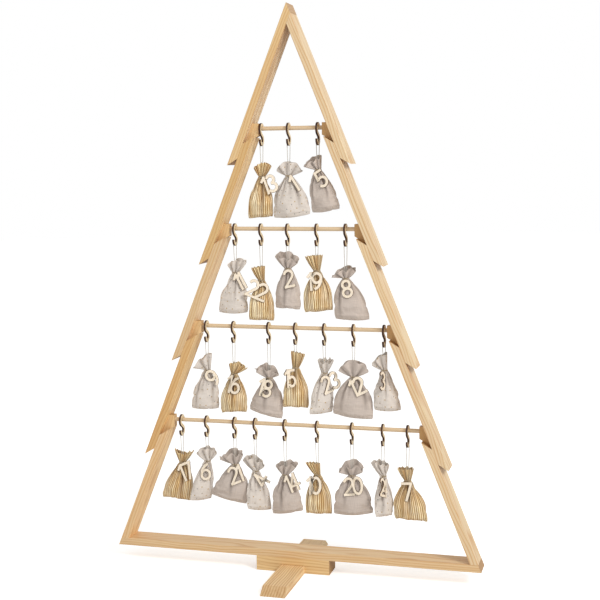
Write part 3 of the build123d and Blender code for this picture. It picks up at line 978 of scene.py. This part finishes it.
@dataclass
class Pouch:
    """One tied cloth pouch, lofted as a gathered shell and draped."""

    style: PouchStyle
    solid: list[Vector]
    axis: Vector
    finishes: Finishes
    neck_rise: float = 0.095
    belly_rise: float = 0.033
    base_rise: float = 0.010
    seam_half_depth: float = 0.0022
    cloth_thickness: float = 0.0011
    columns: int = 96
    body_rows: int = 28
    ruffle_rows: int = 12
    lowest_corner: float = 0.004
    lump_depth: float = 0.0036
    flutes: int = 15
    flute_depth: float = 0.0026
    section_steps: int = 240
    hanging_share: float = 0.62
    bottom_sag: float = 0.003
    # deepest_fold is the fold depth at which the painted fold shade is full.
    deepest_fold: float = 0.0045
    number_gap: float = 0.0003
    press_slope: float = 0.7
    least_facing: float = 0.75
    least_stand: float = 0.34
    rim_ripple: float = 0.0014
    # crease_shade_depth is how deep the ruffle's creases count in the painted fold shade.
    crease_shade_depth: float = 0.0034
    opening_length: float = 0.022
    long_fold: tuple = ((0.070, 0.100), (0.0068, 0.0095))
    short_fold: tuple = ((0.035, 0.060), (0.0034, 0.0055))
    shell: Object | None = field(default=None, init=False)

    def __post_init__(self) -> None:
        """Reads the levels of the pouch's solid and draws its folds."""
        seam = min(p.z for p in self.solid)
        self.neck_z = seam + self.neck_rise
        self.belly = ring_at(self.solid, seam + self.belly_rise)
        self.base = ring_at(self.solid, seam + self.base_rise, self.belly.turn)
        self.seam = ring_at(self.solid, seam, self.belly.turn)
        self.neck = ring_at(self.solid, self.neck_z, self.belly.turn)
        self.gather = GATHERS[self.style.cloth]
        self.dice = random.Random(self.style.day)
        self.tucks = self.draw_tucks()

    def draw_tucks(self) -> list[Tuck]:
        """Spreads the folds unevenly around the neck.

        Returns:
            The folds, a few long ones among short ones.
        """
        count = self.dice.randint(11, 14)
        tucks = []
        for place in range(count):
            angle = (place + self.dice.uniform(-0.32, 0.32)) / count * math.tau
            is_long = place % 3 == self.style.day % 3
            reaches, depths = self.long_fold if is_long else self.short_fold
            reach = self.dice.uniform(*reaches)
            depth = self.dice.uniform(*depths)
            tucks.append(Tuck(angle, self.dice.uniform(0.16, 0.28), depth, reach))
        return tucks

    def fold_depth(self, angle: float, below: float) -> float:
        """Adds up the folds at one place.

        Args:
            angle: The direction from the pouch's middle line.
            below: The distance below the neck.

        Returns:
            How far the cloth is drawn in, in metres.
        """
        total = 0.0
        opening = 0.32 + 0.68 * smooth_step(below / self.opening_length)
        for tuck in self.tucks:
            gap = (angle - tuck.angle + math.pi) % math.tau - math.pi
            nearness = max(0.0, 1 - abs(gap) / tuck.half_angle)
            fade = max(0.0, 1 - below / tuck.reach)
            total += tuck.depth * nearness**1.4 * opening * fade**0.8
        return total

    def flute(self, angle: float, below: float) -> float:
        """Gives how far the pleated gold cloth lies in between its flutes, in metres."""
        if self.style.cloth is not Cloth.GOLD:
            return 0.0
        day = self.style.day
        wander = 0.8 * math.sin(2 * angle + day) + 0.6 * math.sin(5 * angle + 2.0 * day)
        valley = (0.5 + 0.5 * math.sin(self.flutes * angle + wander)) ** 2
        return self.flute_depth * valley * smooth_step(below / 0.02)

    def lump(self, angle: float, below: float) -> float:
        """Gives how far the cloth lies in beside the lumps of the filling, in metres."""
        along = below * 34 + 3.7 * self.style.day
        place = Vector((1.5 * math.cos(angle), 1.5 * math.sin(angle), along))
        hollow = 0.5 - 0.5 * noise.noise(place) - 0.25 * noise.noise(place * 2.3)
        fade = smooth_step(below / 0.03) * smooth_step((self.neck_rise - below) / 0.02)
        return self.lump_depth * max(0.0, hollow) * fade

    def body_level(self, share: float) -> tuple[Ring, float, float]:
        """Gives the section of the body at a share of the way from the seam to the neck.

        Args:
            share: 0 at the seam and 1 at the neck.

        Returns:
            The ring, how pinched its side seams are and the distance below the neck.
        """
        rise = share * self.neck_rise
        below = self.neck_rise - rise
        if rise < self.base_rise:
            part = rise / self.base_rise
            lower, upper, pinch = self.seam, self.base, 1.0 - 0.35 * part
            widening, deepening = math.sin(part * math.pi / 2), part**0.62
            start = self.seam_half_depth
        elif rise < self.belly_rise:
            part = (rise - self.base_rise) / (self.belly_rise - self.base_rise)
            lower, upper, pinch = self.base, self.belly, 0.65 - 0.3 * part
            start, widening, deepening = lower.half_depth, part, smooth_step(part)
        else:
            part = (rise - self.belly_rise) / (self.neck_rise - self.belly_rise)
            lower, upper, pinch = self.belly, self.neck, 0.35 * (1 - part)
            start, widening, deepening = lower.half_depth, part**self.gather.fullness, part
        width = between(lower.half_width, upper.half_width, widening)
        depth = between(start, upper.half_depth, deepening)
        middle = lower.middle.lerp(upper.middle, part)
        return Ring(middle, width, depth, self.belly.turn), pinch, below

    def section(self, ring: Ring, pinch: float, below: float) -> Section:
        """Draws one closed section with its folds, evenly spaced along the cloth.

        Args:
            ring: The section's size and place.
            pinch: How sharply its two side seams are drawn out, from 0 to 1.
            below: The distance below the neck.

        Returns:
            The points around the section and how deep in a fold each lies.
        """
        across, back = level_axes(ring.turn)
        outline = []
        for step in range(self.section_steps + 1):
            angle = math.tau * step / self.section_steps
            sine = math.sin(angle)
            wide = ring.half_width * math.cos(angle)
            deep = ring.half_depth * sine * abs(sine) ** pinch
            drawn = min(self.fold_depth(angle, below), 0.45 * ring.half_depth) * abs(sine) ** 0.6
            flute = min(self.flute(angle, below), 0.2 * ring.half_depth)
            out = across * wide / ring.half_width**2 + back * deep / ring.half_depth**2
            dent = -out.normalized() * (drawn + flute + self.lump(angle, below) * abs(sine))
            point = ring.middle + across * wide + back * deep + dent
            # The second value feeds the painted fold shade, with the gold flutes' valleys counting
            # more weakly.
            outline.append((point, drawn + 0.3 * flute))
        half = self.section_steps // 2
        return self.respace(outline[: half + 1]) + self.respace(outline[half:])

    def respace(self, outline: Section) -> Section:
        """Spaces half of the columns evenly along half of a section.

        Args:
            outline: Points and fold depths from one side seam to the other.

        Returns:
            Half the columns, without the far side seam.
        """
        lengths = [0.0]
        for (first, _), (second, _) in zip(outline, outline[1:]):
            lengths.append(lengths[-1] + (second - first).length)
        spaced = []
        place = 0
        for column in range(self.columns // 2):
            goal = lengths[-1] * column / (self.columns // 2)
            while lengths[place + 1] < goal:
                place += 1
            part = (goal - lengths[place]) / (lengths[place + 1] - lengths[place])
            (first, shallow), (second, deep) = outline[place], outline[place + 1]
            spaced.append((first.lerp(second, part), between(shallow, deep, part)))
        return spaced

    def body_sections(self) -> list[Section]:
        """Lofts the body from the bottom seam to the neck, with its bottom edge sloped.

        Returns:
            The sections from the seam upwards.
        """
        slope = math.tan(math.radians(self.style.base_slope))
        lift = max(0.0, abs(slope) * self.base.half_width - self.lowest_corner)
        rows = []
        for row in range(self.body_rows):
            share = row / (self.body_rows - 1)
            ring, pinch, below = self.body_level(share)
            hang = 1 - smooth_step(share / self.hanging_share)
            level = self.neck_z - below
            points = []
            for point, drawn in self.section(ring, pinch, below):
                aside = point.x - ring.middle.x
                sag = self.bottom_sag * (1 - (aside / ring.half_width) ** 2) * (1 - share) ** 2
                rise = hang * (slope * aside + lift) - sag
                points.append((Vector((point.x, point.y, level + rise)), drawn))
            rows.append(points)
        return rows

    def pleat(self, angle: float) -> float:
        """Gives the ruffle's wave at one place around the neck, from -1 to 1."""
        count, turn, second = self.pleats
        wander = 0.9 * math.sin(2 * angle + second) + 0.5 * math.sin(3 * angle + turn)
        return math.sin(count * angle + turn + wander)

    def rim_reach(self, column: int) -> Vector:
        """Gives where the rim stands from the middle of the neck at one column.

        Args:
            column: The column's number around the neck.

        Returns:
            The rim's place, level and upright, from the neck's middle.
        """
        left, right = self.style.mouth
        half_width, half_depth = (right - left) / 2, self.style.depth
        angle = math.tau * column / self.columns
        out = Vector((math.cos(angle) / half_width, math.sin(angle) / half_depth, 0)).normalized()
        out *= self.gather.pleat_depth * self.pleat(angle) * (0.3 + 0.7 * abs(math.sin(angle)))
        wide = half_width * 0.95 * math.cos(angle) + out.x
        deep = half_depth * math.sin(angle) + out.y
        middle = self.axis.x + (left + right) / 2 - self.neck.middle.x
        flat = Vector((middle + min(max(wide, -half_width), half_width), deep, 0))
        stand = self.style.stand
        lowest = (self.least_stand * stand) ** 2
        height = math.sqrt(max(stand**2 - self.style.dome * flat.length_squared, lowest))
        height += math.tan(math.radians(self.style.rim_tilt)) * wide
        height += math.tan(math.radians(self.style.nod)) * deep
        height += self.rim_ripple * self.pleat(angle + 0.6)
        return flat + Vector((0, 0, height))

    def ruffle_sections(self, neck: Section) -> list[Section]:
        """Fans the ruffle out above the neck in pleats that widen to the rim.

        Args:
            neck: The points of the tied neck.

        Returns:
            The sections above the neck, up to the rim.
        """
        count = self.dice.choice(self.gather.pleat_counts)
        self.pleats = (count, self.dice.uniform(0, 6.28), self.dice.uniform(0, 6.28))
        rim = [self.neck.middle + self.rim_reach(column) for column in range(self.columns)]
        rows = []
        for row in range(1, self.ruffle_rows + 1):
            share = row / self.ruffle_rows
            points = []
            for column, ((start, drawn), end) in enumerate(zip(neck, rim)):
                angle = math.tau * column / self.columns
                point = start + (end - start) * share**0.92
                point.z = between(start.z, end.z, 0.8 * share + 0.2 * share * share)
                # Painted shade: the ruffle's creases only darken the fold mask; they do not move
                # the cloth.
                crease_shade = self.crease_shade_depth * max(0.0, -self.pleat(angle))
                points.append((point, drawn * (1 - share) + crease_shade * (1 - 0.55 * share)))
            rows.append(points)
        return rows

    def build(self) -> Object:
        """Builds the open cloth shell: bottom seam, body, neck and ruffle.

        Returns:
            The shell, with its cloth map and the fold mask of painted shade in its folds.
        """
        rows = self.body_sections()
        rows += self.ruffle_sections(rows[-1])
        self.rows = rows
        count = self.columns
        faces = []
        for row in range(len(rows) - 1):
            for column in range(count):
                after = (column + 1) % count
                low, high = row * count, (row + 1) * count
                faces.append((low + column, low + after, high + after, high + column))
        for column in range(1, count // 2 - 1):
            faces.append((column + 1, column, count - column, count - column - 1))
        faces.append((1, 0, count - 1))
        faces.append((count // 2 - 1, count // 2 + 1, count // 2))
        mesh = bpy.data.meshes.new(f"pouch_cloth_{self.style.day:02d}")
        mesh.from_pydata(self.modelled(), [], faces)
        self.shell = add_object(mesh.name, mesh)
        # Painted shade: the deeper a point lies in a fold, the darker the fold mask paints it.
        mask = mesh.attributes.new(FOLD_SHADE_MASK, "FLOAT", "POINT")
        depths = [min(1.0, drawn / self.deepest_fold) for row in rows for _, drawn in row]
        mask.data.foreach_set("value", depths)
        self.map_cloth()
        mesh.materials.append(self.finishes.cloths[self.style.cloth])
        return self.shell

    def modelled(self) -> list[Vector]:
        """Lists the shell's points as they were lofted."""
        return [point for row in self.rows for point, _ in row]

    def map_cloth(self) -> None:
        """Lays the flat cloth map on the shell, in metres from a side seam and the bottom."""
        mesh, count = self.shell.data, self.columns
        width = math.tau * math.sqrt((self.base.half_width**2 + self.base.half_depth**2) / 2)
        heights = [0.0]
        for lower, upper in zip(self.rows, self.rows[1:]):
            steps = [(b - a).length for (a, _), (b, _) in zip(lower, upper)]
            heights.append(heights[-1] + sum(steps) / len(steps))
        layer = mesh.uv_layers.new(name=CLOTH_MAP)
        for face in mesh.polygons:
            columns = [mesh.loops[i].vertex_index % count for i in face.loop_indices]
            wraps = 0 in columns and count - 1 in columns
            for index, column in zip(face.loop_indices, columns):
                row = mesh.loops[index].vertex_index // count
                around = count if wraps and column == 0 else column
                layer.data[index].uv = (around / count * width, heights[row])

    def hold_in(self, moved: list[Vector], limit: float) -> None:
        """Keeps every point near its modelled place and inside the pouch's own width.

        Args:
            moved: Where the draped cloth's points lie.
            limit: How far a point may move, in metres.
        """
        across, _ = level_axes(self.belly.turn)
        first = self.modelled()
        for index, vertex in enumerate(self.shell.data.vertices):
            step = moved[index] - first[index]
            if step.length > limit:
                step *= limit / step.length
            place = first[index] + step
            row = self.rows[index // self.columns]
            sides = (row[0][0].dot(across), row[self.columns // 2][0].dot(across))
            outside = place.dot(across) - min(max(place.dot(across), min(sides)), max(sides))
            vertex.co = place - across * outside

    def press_behind(self, number: Object) -> None:
        """Presses the cloth behind the back of the number that lies on it.

        Args:
            number: The day's number.
        """
        front = -level_axes(self.belly.turn)[1]
        facing = DayNumber.facing(number)
        facing *= math.copysign(1, facing.dot(front))
        if facing.dot(front) < self.least_facing:
            return
        level = facing.cross(Vector((0, 0, 1))).normalized()
        upright = level.cross(facing)
        corners = [vertex.co for vertex in number.data.vertices]
        back = min(corner.dot(facing) for corner in corners) - self.number_gap
        spans = [(axis, [corner.dot(axis) for corner in corners]) for axis in (level, upright)]
        for vertex in self.shell.data.vertices[: self.body_rows * self.columns]:
            away = 0.0
            for axis, values in spans:
                place = vertex.co.dot(axis)
                away = max(away, min(values) - place, place - max(values))
            proud = vertex.co.dot(facing) - back - self.press_slope * away
            if proud > 0:
                vertex.co -= facing * proud

    def finish(self) -> Object:
        """Gives the cloth its thickness and smooth faces and hangs it on its body.

        Returns:
            The finished pouch.
        """
        wall = self.shell.modifiers.new("cloth_thickness", "SOLIDIFY")
        wall.thickness = self.cloth_thickness
        wall.offset = -1
        wall.use_even_offset = False
        smooth = self.shell.modifiers.new("soften", "SUBSURF")
        smooth.levels = smooth.render_levels = 1
        apply_modifiers(self.shell)
        bpy.ops.object.shade_smooth()
        day = f"{self.style.day:02d}"
        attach(self.shell, f"day_{day}")
        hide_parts(f"pouch_{day}")
        return self.shell


@dataclass
class Drape:
    """Settles all the pouches together under their own weight and the pressure of their filling."""

    pouches: list[Pouch]
    frames: int = 20
    limit: float = 0.005

    def add_groups(self, pouch: Pouch) -> None:
        """Marks the tied neck, the stiff ruffle and the filled body of one pouch.

        Args:
            pouch: The pouch to mark.
        """
        held = pouch.shell.vertex_groups.new(name="held")
        filled = pouch.shell.vertex_groups.new(name="filled")
        for row in range(len(pouch.rows)):
            indices = list(range(row * pouch.columns, (row + 1) * pouch.columns))
            above = row - pouch.body_rows + 1
            if above >= -1:
                held.add(indices, 1.0 - 0.5 * max(0, above) / pouch.ruffle_rows, "REPLACE")
            elif 2 <= row:
                filled.add(indices, 1.0, "REPLACE")

    def add_cloth(self, pouch: Pouch) -> None:
        """Gives one pouch its cloth settings.

        Args:
            pouch: The pouch to drape.
        """
        cloth = pouch.shell.modifiers.new("drape", "CLOTH")
        settings = cloth.settings
        settings.quality = 6
        settings.mass = 0.002
        settings.air_damping = 2.0
        settings.tension_stiffness = settings.compression_stiffness = 12.0
        settings.shear_stiffness = 4.0
        settings.bending_stiffness = 0.02 * pouch.gather.stiffness
        settings.vertex_group_mass = "held"
        settings.shrink_min = -0.05
        settings.use_pressure = True
        settings.uniform_pressure_force = 6.0
        settings.vertex_group_pressure = "filled"
        cloth.collision_settings.use_collision = False
        cloth.collision_settings.use_self_collision = False

    def run(self) -> None:
        """Runs the cloth for its frames, applies it and holds the result in bounds."""
        for pouch in self.pouches:
            self.add_groups(pouch)
            self.add_cloth(pouch)
        scene = bpy.context.scene
        for step in range(1, self.frames + 1):
            scene.frame_set(step)
        for pouch in self.pouches:
            apply_modifiers(pouch.shell)
            moved = [vertex.co.copy() for vertex in pouch.shell.data.vertices]
            pouch.hold_in(moved, self.limit)
            pouch.shell.vertex_groups.clear()
            log.info("day %02d is draped", pouch.style.day)
        scene.frame_set(1)


@dataclass
class NeckTie:
    """Thin cord wound twice round a pouch's neck, with a knot's two short ends in front.

    pitch is the rise of a turn and bed the cord's stand off the neck, both in radii of the cord.
    """

    pouch: Pouch
    finishes: Finishes
    radius: float = 0.0006
    turns: int = 2
    steps: int = 18
    pitch: float = 2.1
    bed: float = 0.4
    tail_in: tuple = ((-0.006, -0.002, -0.009), (-0.0035, -0.001, -0.003))
    tail_out: tuple = ((0.003, -0.001, 0.001), (0.0055, -0.002, -0.007))

    def build(self) -> Object:
        """Winds the tie round the neck.

        Returns:
            The tie as a mesh.
        """
        neck = self.pouch.neck
        total = self.turns * self.steps
        route = []
        for step in range(total + 1):
            angle = -math.pi / 2 + math.tau * step / self.steps
            rise = (step / total - 0.5) * self.turns * self.pitch * self.radius
            wide = (neck.half_width + self.radius * self.bed) * math.cos(angle)
            deep = (neck.half_depth + self.radius * self.bed) * math.sin(angle)
            route.append(neck.middle + Vector((wide, deep, rise)))
        front = neck.middle + Vector((0, -neck.half_depth - 2 * self.radius, 0))
        tails = (self.tail_in, self.tail_out)
        start, end = ([front + Vector(place) for place in tail] for tail in tails)
        tie = smooth_curve(f"neck_tie_{self.pouch.style.day:02d}", start + route + end, 3)
        thicken(tie, self.radius, 2)
        pick(tie)
        bpy.ops.object.convert(target="MESH")
        tie = bpy.context.object
        clean_mesh(tie)
        bpy.ops.object.shade_smooth()
        set_materials(tie.data, self.finishes.tie)
        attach(tie, f"day_{self.pouch.style.day:02d}")
        return tie


@dataclass
class HangingLoop:
    """The white cord loop that a pouch hangs by, from its neck over the hook's cradle and back."""

    pouch: Pouch
    finishes: Finishes
    diameter: float = 0.0016
    strand_offset: float = 0.0037
    top_drop: float = 0.0326
    neck_offset: float = 0.0012
    mouth_offset: float = 0.0026
    root_rise: float = 0.002
    run_in: float = 0.0085
    crook: float = 0.0035

    def route(self) -> list[Vector]:
        """Lists the loop's points from the neck over the cradle and back to the neck."""
        top = self.pouch.axis.z - self.top_drop
        neck = self.pouch.neck_z
        mouth = neck + self.pouch.style.stand
        left = [
            Vector((-self.neck_offset, 0, neck + self.root_rise)),
            Vector((-self.mouth_offset, 0, mouth)),
            Vector((-self.strand_offset, 0, top - self.run_in)),
            Vector((-self.strand_offset, 0, top - self.crook)),
            Vector((-self.strand_offset, 0, top)),
        ]
        right = [Vector((-point.x, 0, point.z)) for point in reversed(left)]
        return [Vector((self.pouch.axis.x, 0, 0)) + point for point in left + right]

    def build(self) -> Object:
        """Returns:
            The cord.
        """
        day = f"{self.pouch.style.day:02d}"
        route = self.route()
        cord = smooth_curve(f"hanging_loop_{day}", route, 8)
        line = bpy.data.meshes.new_from_object(cord)
        bpy.data.meshes.remove(line)
        thicken(cord, self.diameter / 2, 3)
        cord.data.materials.append(self.finishes.cord)
        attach(cord, f"day_{day}")
        return cord


@dataclass
class DayNumber:
    """The cut-out plywood number on the front of a pouch."""

    day: int
    blank: Object
    finishes: Finishes
    edge_round: float = 0.0003
    scorch: float = 0.0004
    stroke_growth: float = 0.00085
    flat_bend: float = 2
    sharp_bend: float = 60
    smooth_bend: float = 35
    curve_share: float = 24

    def build(self) -> Object:
        """Rounds the number's outline and edges and toasts its rim and the margins of its faces.

        Returns:
            The finished number.
        """
        number = self.blank
        number.name = f"day_number_{self.day:02d}"
        clean_mesh(number, SOLID_MERGE)
        with editing(number):
            bpy.ops.mesh.dissolve_limited(angle_limit=math.radians(self.flat_bend))
        facing = self.facing(number)
        self.widen_strokes(number, facing)
        self.round_outline(number, facing)
        round_edges(number, self.edge_round, self.sharp_bend)
        set_materials(number.data, self.finishes.number, self.finishes.number_rim)
        self.toast_margins(number, facing)
        bpy.ops.object.shade_smooth_by_angle(angle=math.radians(self.smooth_bend))
        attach(number, f"day_{self.day:02d}")
        return number

    @staticmethod
    def select_faces(number: Object, facing: Vector, least: float, most: float) -> None:
        """Selects the faces whose normals lie within bounds of the number's facing.

        Args:
            number: The number, in edit mode.
            facing: The normal of its face.
            least: The share of the normal along the facing that is passed.
            most: The share that isn't reached.
        """
        bpy.ops.mesh.select_mode(type="FACE")
        edit = bmesh.from_edit_mesh(number.data)
        for face in edit.faces:
            face.select = least < abs(face.normal.dot(facing)) < most
        edit.select_flush_mode()
        bmesh.update_edit_mesh(number.data)

    def widen_strokes(self, number: Object, facing: Vector) -> None:
        """Moves the number's side walls out, so that its strokes are as bold as cut plywood.

        Args:
            number: The number.
            facing: The normal of its face.
        """
        with editing(number, "DESELECT"):
            self.select_faces(number, facing, -1.0, 0.5)
            bpy.ops.transform.shrink_fatten(value=self.stroke_growth, use_even_offset=False)

    def toast_margins(self, number: Object, facing: Vector) -> None:
        """Sets both faces off from their toasted margins and rim.

        Args:
            number: The number.
            facing: The normal of its face.
        """
        with editing(number, "DESELECT"):
            self.select_faces(number, facing, 0.9, 2.0)
            bpy.ops.mesh.inset(thickness=self.scorch, use_even_offset=False)
            edit = bmesh.from_edit_mesh(number.data)
            for face in edit.faces:
                face.material_index = 0 if face.select else 1
            bmesh.update_edit_mesh(number.data)

    @staticmethod
    def facing(number: Object) -> Vector:
        """Gives the normal of the number's largest face."""
        largest = max(number.data.polygons, key=lambda face: face.area)
        return largest.normal.copy()

    def round_outline(self, number: Object, facing: Vector) -> None:
        """Rounds the shallow corners of the outline, which stand for curves.

        Args:
            number: The number.
            facing: The normal of its face.
        """
        with editing(number, "DESELECT"):
            bpy.ops.mesh.select_mode(type="EDGE")
            edit = bmesh.from_edit_mesh(number.data)
            for edge in edit.edges:
                if len(edge.link_faces) != 2:
                    continue
                along = (edge.verts[1].co - edge.verts[0].co).normalized()
                bend = math.degrees(edge.calc_face_angle(0.0))
                edge.select = abs(along.dot(facing)) > 0.95 and 8 < bend < 40
            edit.select_flush_mode()
            bmesh.update_edit_mesh(number.data)
            bpy.ops.mesh.bevel(
                offset_type="PERCENT", offset_pct=self.curve_share, segments=3, affect="EDGES"
            )


@dataclass
class DaySet:
    """One day's hook, loop, pouch, tie and number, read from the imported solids."""

    style: PouchStyle

    def parts(self) -> tuple[list[Vector], Object]:
        """Takes a copy of the day's node apart.

        Returns:
            The points of the pouch's solid and the number as an object.
        """
        node = frame["nodes"][f"pouch_{self.style.day:02d}"]
        copy = add_object("day_parts", node.data.copy())
        clean_mesh(copy, SOLID_MERGE)
        with editing(copy):
            bpy.ops.mesh.separate(type="LOOSE")
        loose = list(bpy.context.selected_objects)
        lowest = min(loose, key=lambda part: min(v.co.z for v in part.data.vertices))
        highest = max(loose, key=lambda part: max(v.co.z for v in part.data.vertices))
        number = next(part for part in loose if part not in (lowest, highest))
        solid = [v.co.copy() for v in lowest.data.vertices]
        for part in (lowest, highest):
            bpy.data.objects.remove(part)
        return solid, number

    def axis(self) -> Vector:
        """Gives the point of the rod's axis that the day's hook hangs on."""
        body = f"day_{self.style.day:02d}"
        joint = next(joint for joint in frame["joints"] if joint["child"] == body)
        return Vector(joint["pos_m"])


@dataclass
class Studio:
    """Camera, soft lights and a pale floor."""

    place: tuple[float, float, float] = (0.7856, -2.7424, 0.9901)
    heading: float = math.radians(15.639)
    pitch: float = math.radians(-6.49)
    roll: float = math.radians(-0.65)
    lens: float = 71.76

    def add_camera(self) -> None:
        """Sets the camera at the photograph's place."""
        data = bpy.data.cameras.new("front_camera")
        data.lens = self.lens
        data.sensor_width = 36.0
        camera = add_object("front_camera", data)
        level = math.cos(self.pitch)
        sine, cosine = math.sin(self.heading), math.cos(self.heading)
        ahead = Vector((-sine * level, cosine * level, math.sin(self.pitch)))
        right = Vector((cosine, sine, 0))
        above = right.cross(ahead)
        turned_right = right * math.cos(self.roll) + above * math.sin(self.roll)
        turned_above = above * math.cos(self.roll) - right * math.sin(self.roll)
        turn = Matrix((turned_right, turned_above, -ahead)).transposed()
        camera.matrix_world = Matrix.Translation(self.place) @ turn.to_4x4()
        bpy.context.scene.camera = camera

    @staticmethod
    def add_light(name: str, place: tuple, aim: tuple, size: float, power: float) -> None:
        """Adds one soft square lamp.

        Args:
            name: The lamp's name.
            place: Where it stands.
            aim: What it points at.
            size: Its side length.
            power: Its power in watts.
        """
        data = bpy.data.lights.new(name, "AREA")
        data.size = size
        data.energy = power
        lamp = add_object(name, data)
        lamp.location = place
        lamp.rotation_euler = (Vector(aim) - Vector(place)).to_track_quat("-Z", "Y").to_euler()

    @staticmethod
    def add_world() -> None:
        """Lights the room evenly and shows it white to the camera and in reflections."""
        world = bpy.data.worlds.new("white_room")
        bpy.context.scene.world = world
        world.use_nodes = True
        world.node_tree.nodes.clear()
        bench = NodeBench(world.node_tree)
        path = bench.add("ShaderNodeLightPath")
        seen = bench.math("MAXIMUM", path.outputs["Is Camera Ray"], path.outputs["Is Glossy Ray"])
        seen = bench.math("MAXIMUM", seen, path.outputs["Is Transmission Ray"])
        soft = bench.add("ShaderNodeBackground", {"Color": (1.0, 0.985, 0.96, 1), "Strength": 0.56})
        white = bench.add("ShaderNodeBackground", {"Color": (1, 1, 1, 1), "Strength": 1.0})
        mixed = bench.add("ShaderNodeMixShader", {0: seen, 1: soft.outputs[0], 2: white.outputs[0]})
        bench.add("ShaderNodeOutputWorld", {0: mixed.outputs[0]})

    @staticmethod
    def add_floor() -> None:
        """Adds the pale floor, which keeps the object's shadow."""
        deselect_all()
        bpy.ops.mesh.primitive_circle_add(
            vertices=96, radius=FLOOR_RADIUS, fill_type="NGON", location=(0, 0, FLOOR_LEVEL)
        )
        floor = bpy.context.object
        floor.name = "studio_floor"
        bpy.ops.object.transform_apply(location=True, rotation=True, scale=True)
        material, bench, shader = new_material("pale_floor")
        path = bench.add("ShaderNodeLightPath")
        glow = bench.times(path.outputs["Is Camera Ray"], 0.5)
        bench.feed(shader, {"Base Color": (0.9, 0.9, 0.9, 1), "Roughness": 0.9})
        bench.feed(shader, {"Emission Color": (1, 1, 1, 1), "Emission Strength": glow})
        floor.data.materials.append(material)

    def build(self) -> None:
        """Sets the view transform and adds camera, lights, world and floor."""
        bpy.context.scene.view_settings.view_transform = "Standard"
        self.add_camera()
        self.add_world()
        self.add_light("key_light", (3.8, -2.7, 3.5), (0, 0, 0.6), 1.3, 155)
        self.add_light("fill_light", (-2.4, -3.4, 1.4), (0, 0, 0.6), 1.6, 14)
        self.add_floor()


def main() -> None:
    """Builds the studio and dresses every piece of the calendar."""
    logging.basicConfig(level=logging.INFO, format="%(message)s")
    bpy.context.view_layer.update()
    deselect_all()
    Studio().build()
    finishes = make_finishes()
    Woodwork(finishes).dress()
    hook = HookPlate(finishes)
    hook.build()
    pouches = []
    numbers = []
    for style in STYLES:
        day = DaySet(style)
        solid, blank = day.parts()
        axis = day.axis()
        hook.place(style.day, axis)
        pouches.append(Pouch(style, solid, axis, finishes))
        pouches[-1].build()
        numbers.append(DayNumber(style.day, blank, finishes).build())
    hook.discard_master()
    Drape(pouches).run()
    for pouch, number in zip(pouches, numbers):
        pouch.press_behind(number)
        pouch.finish()
        HangingLoop(pouch, finishes).build()
        NeckTie(pouch, finishes).build()
        log.info("day %02d hangs in %s", pouch.style.day, pouch.style.cloth.value)


if __name__ == "__main__":
    main()
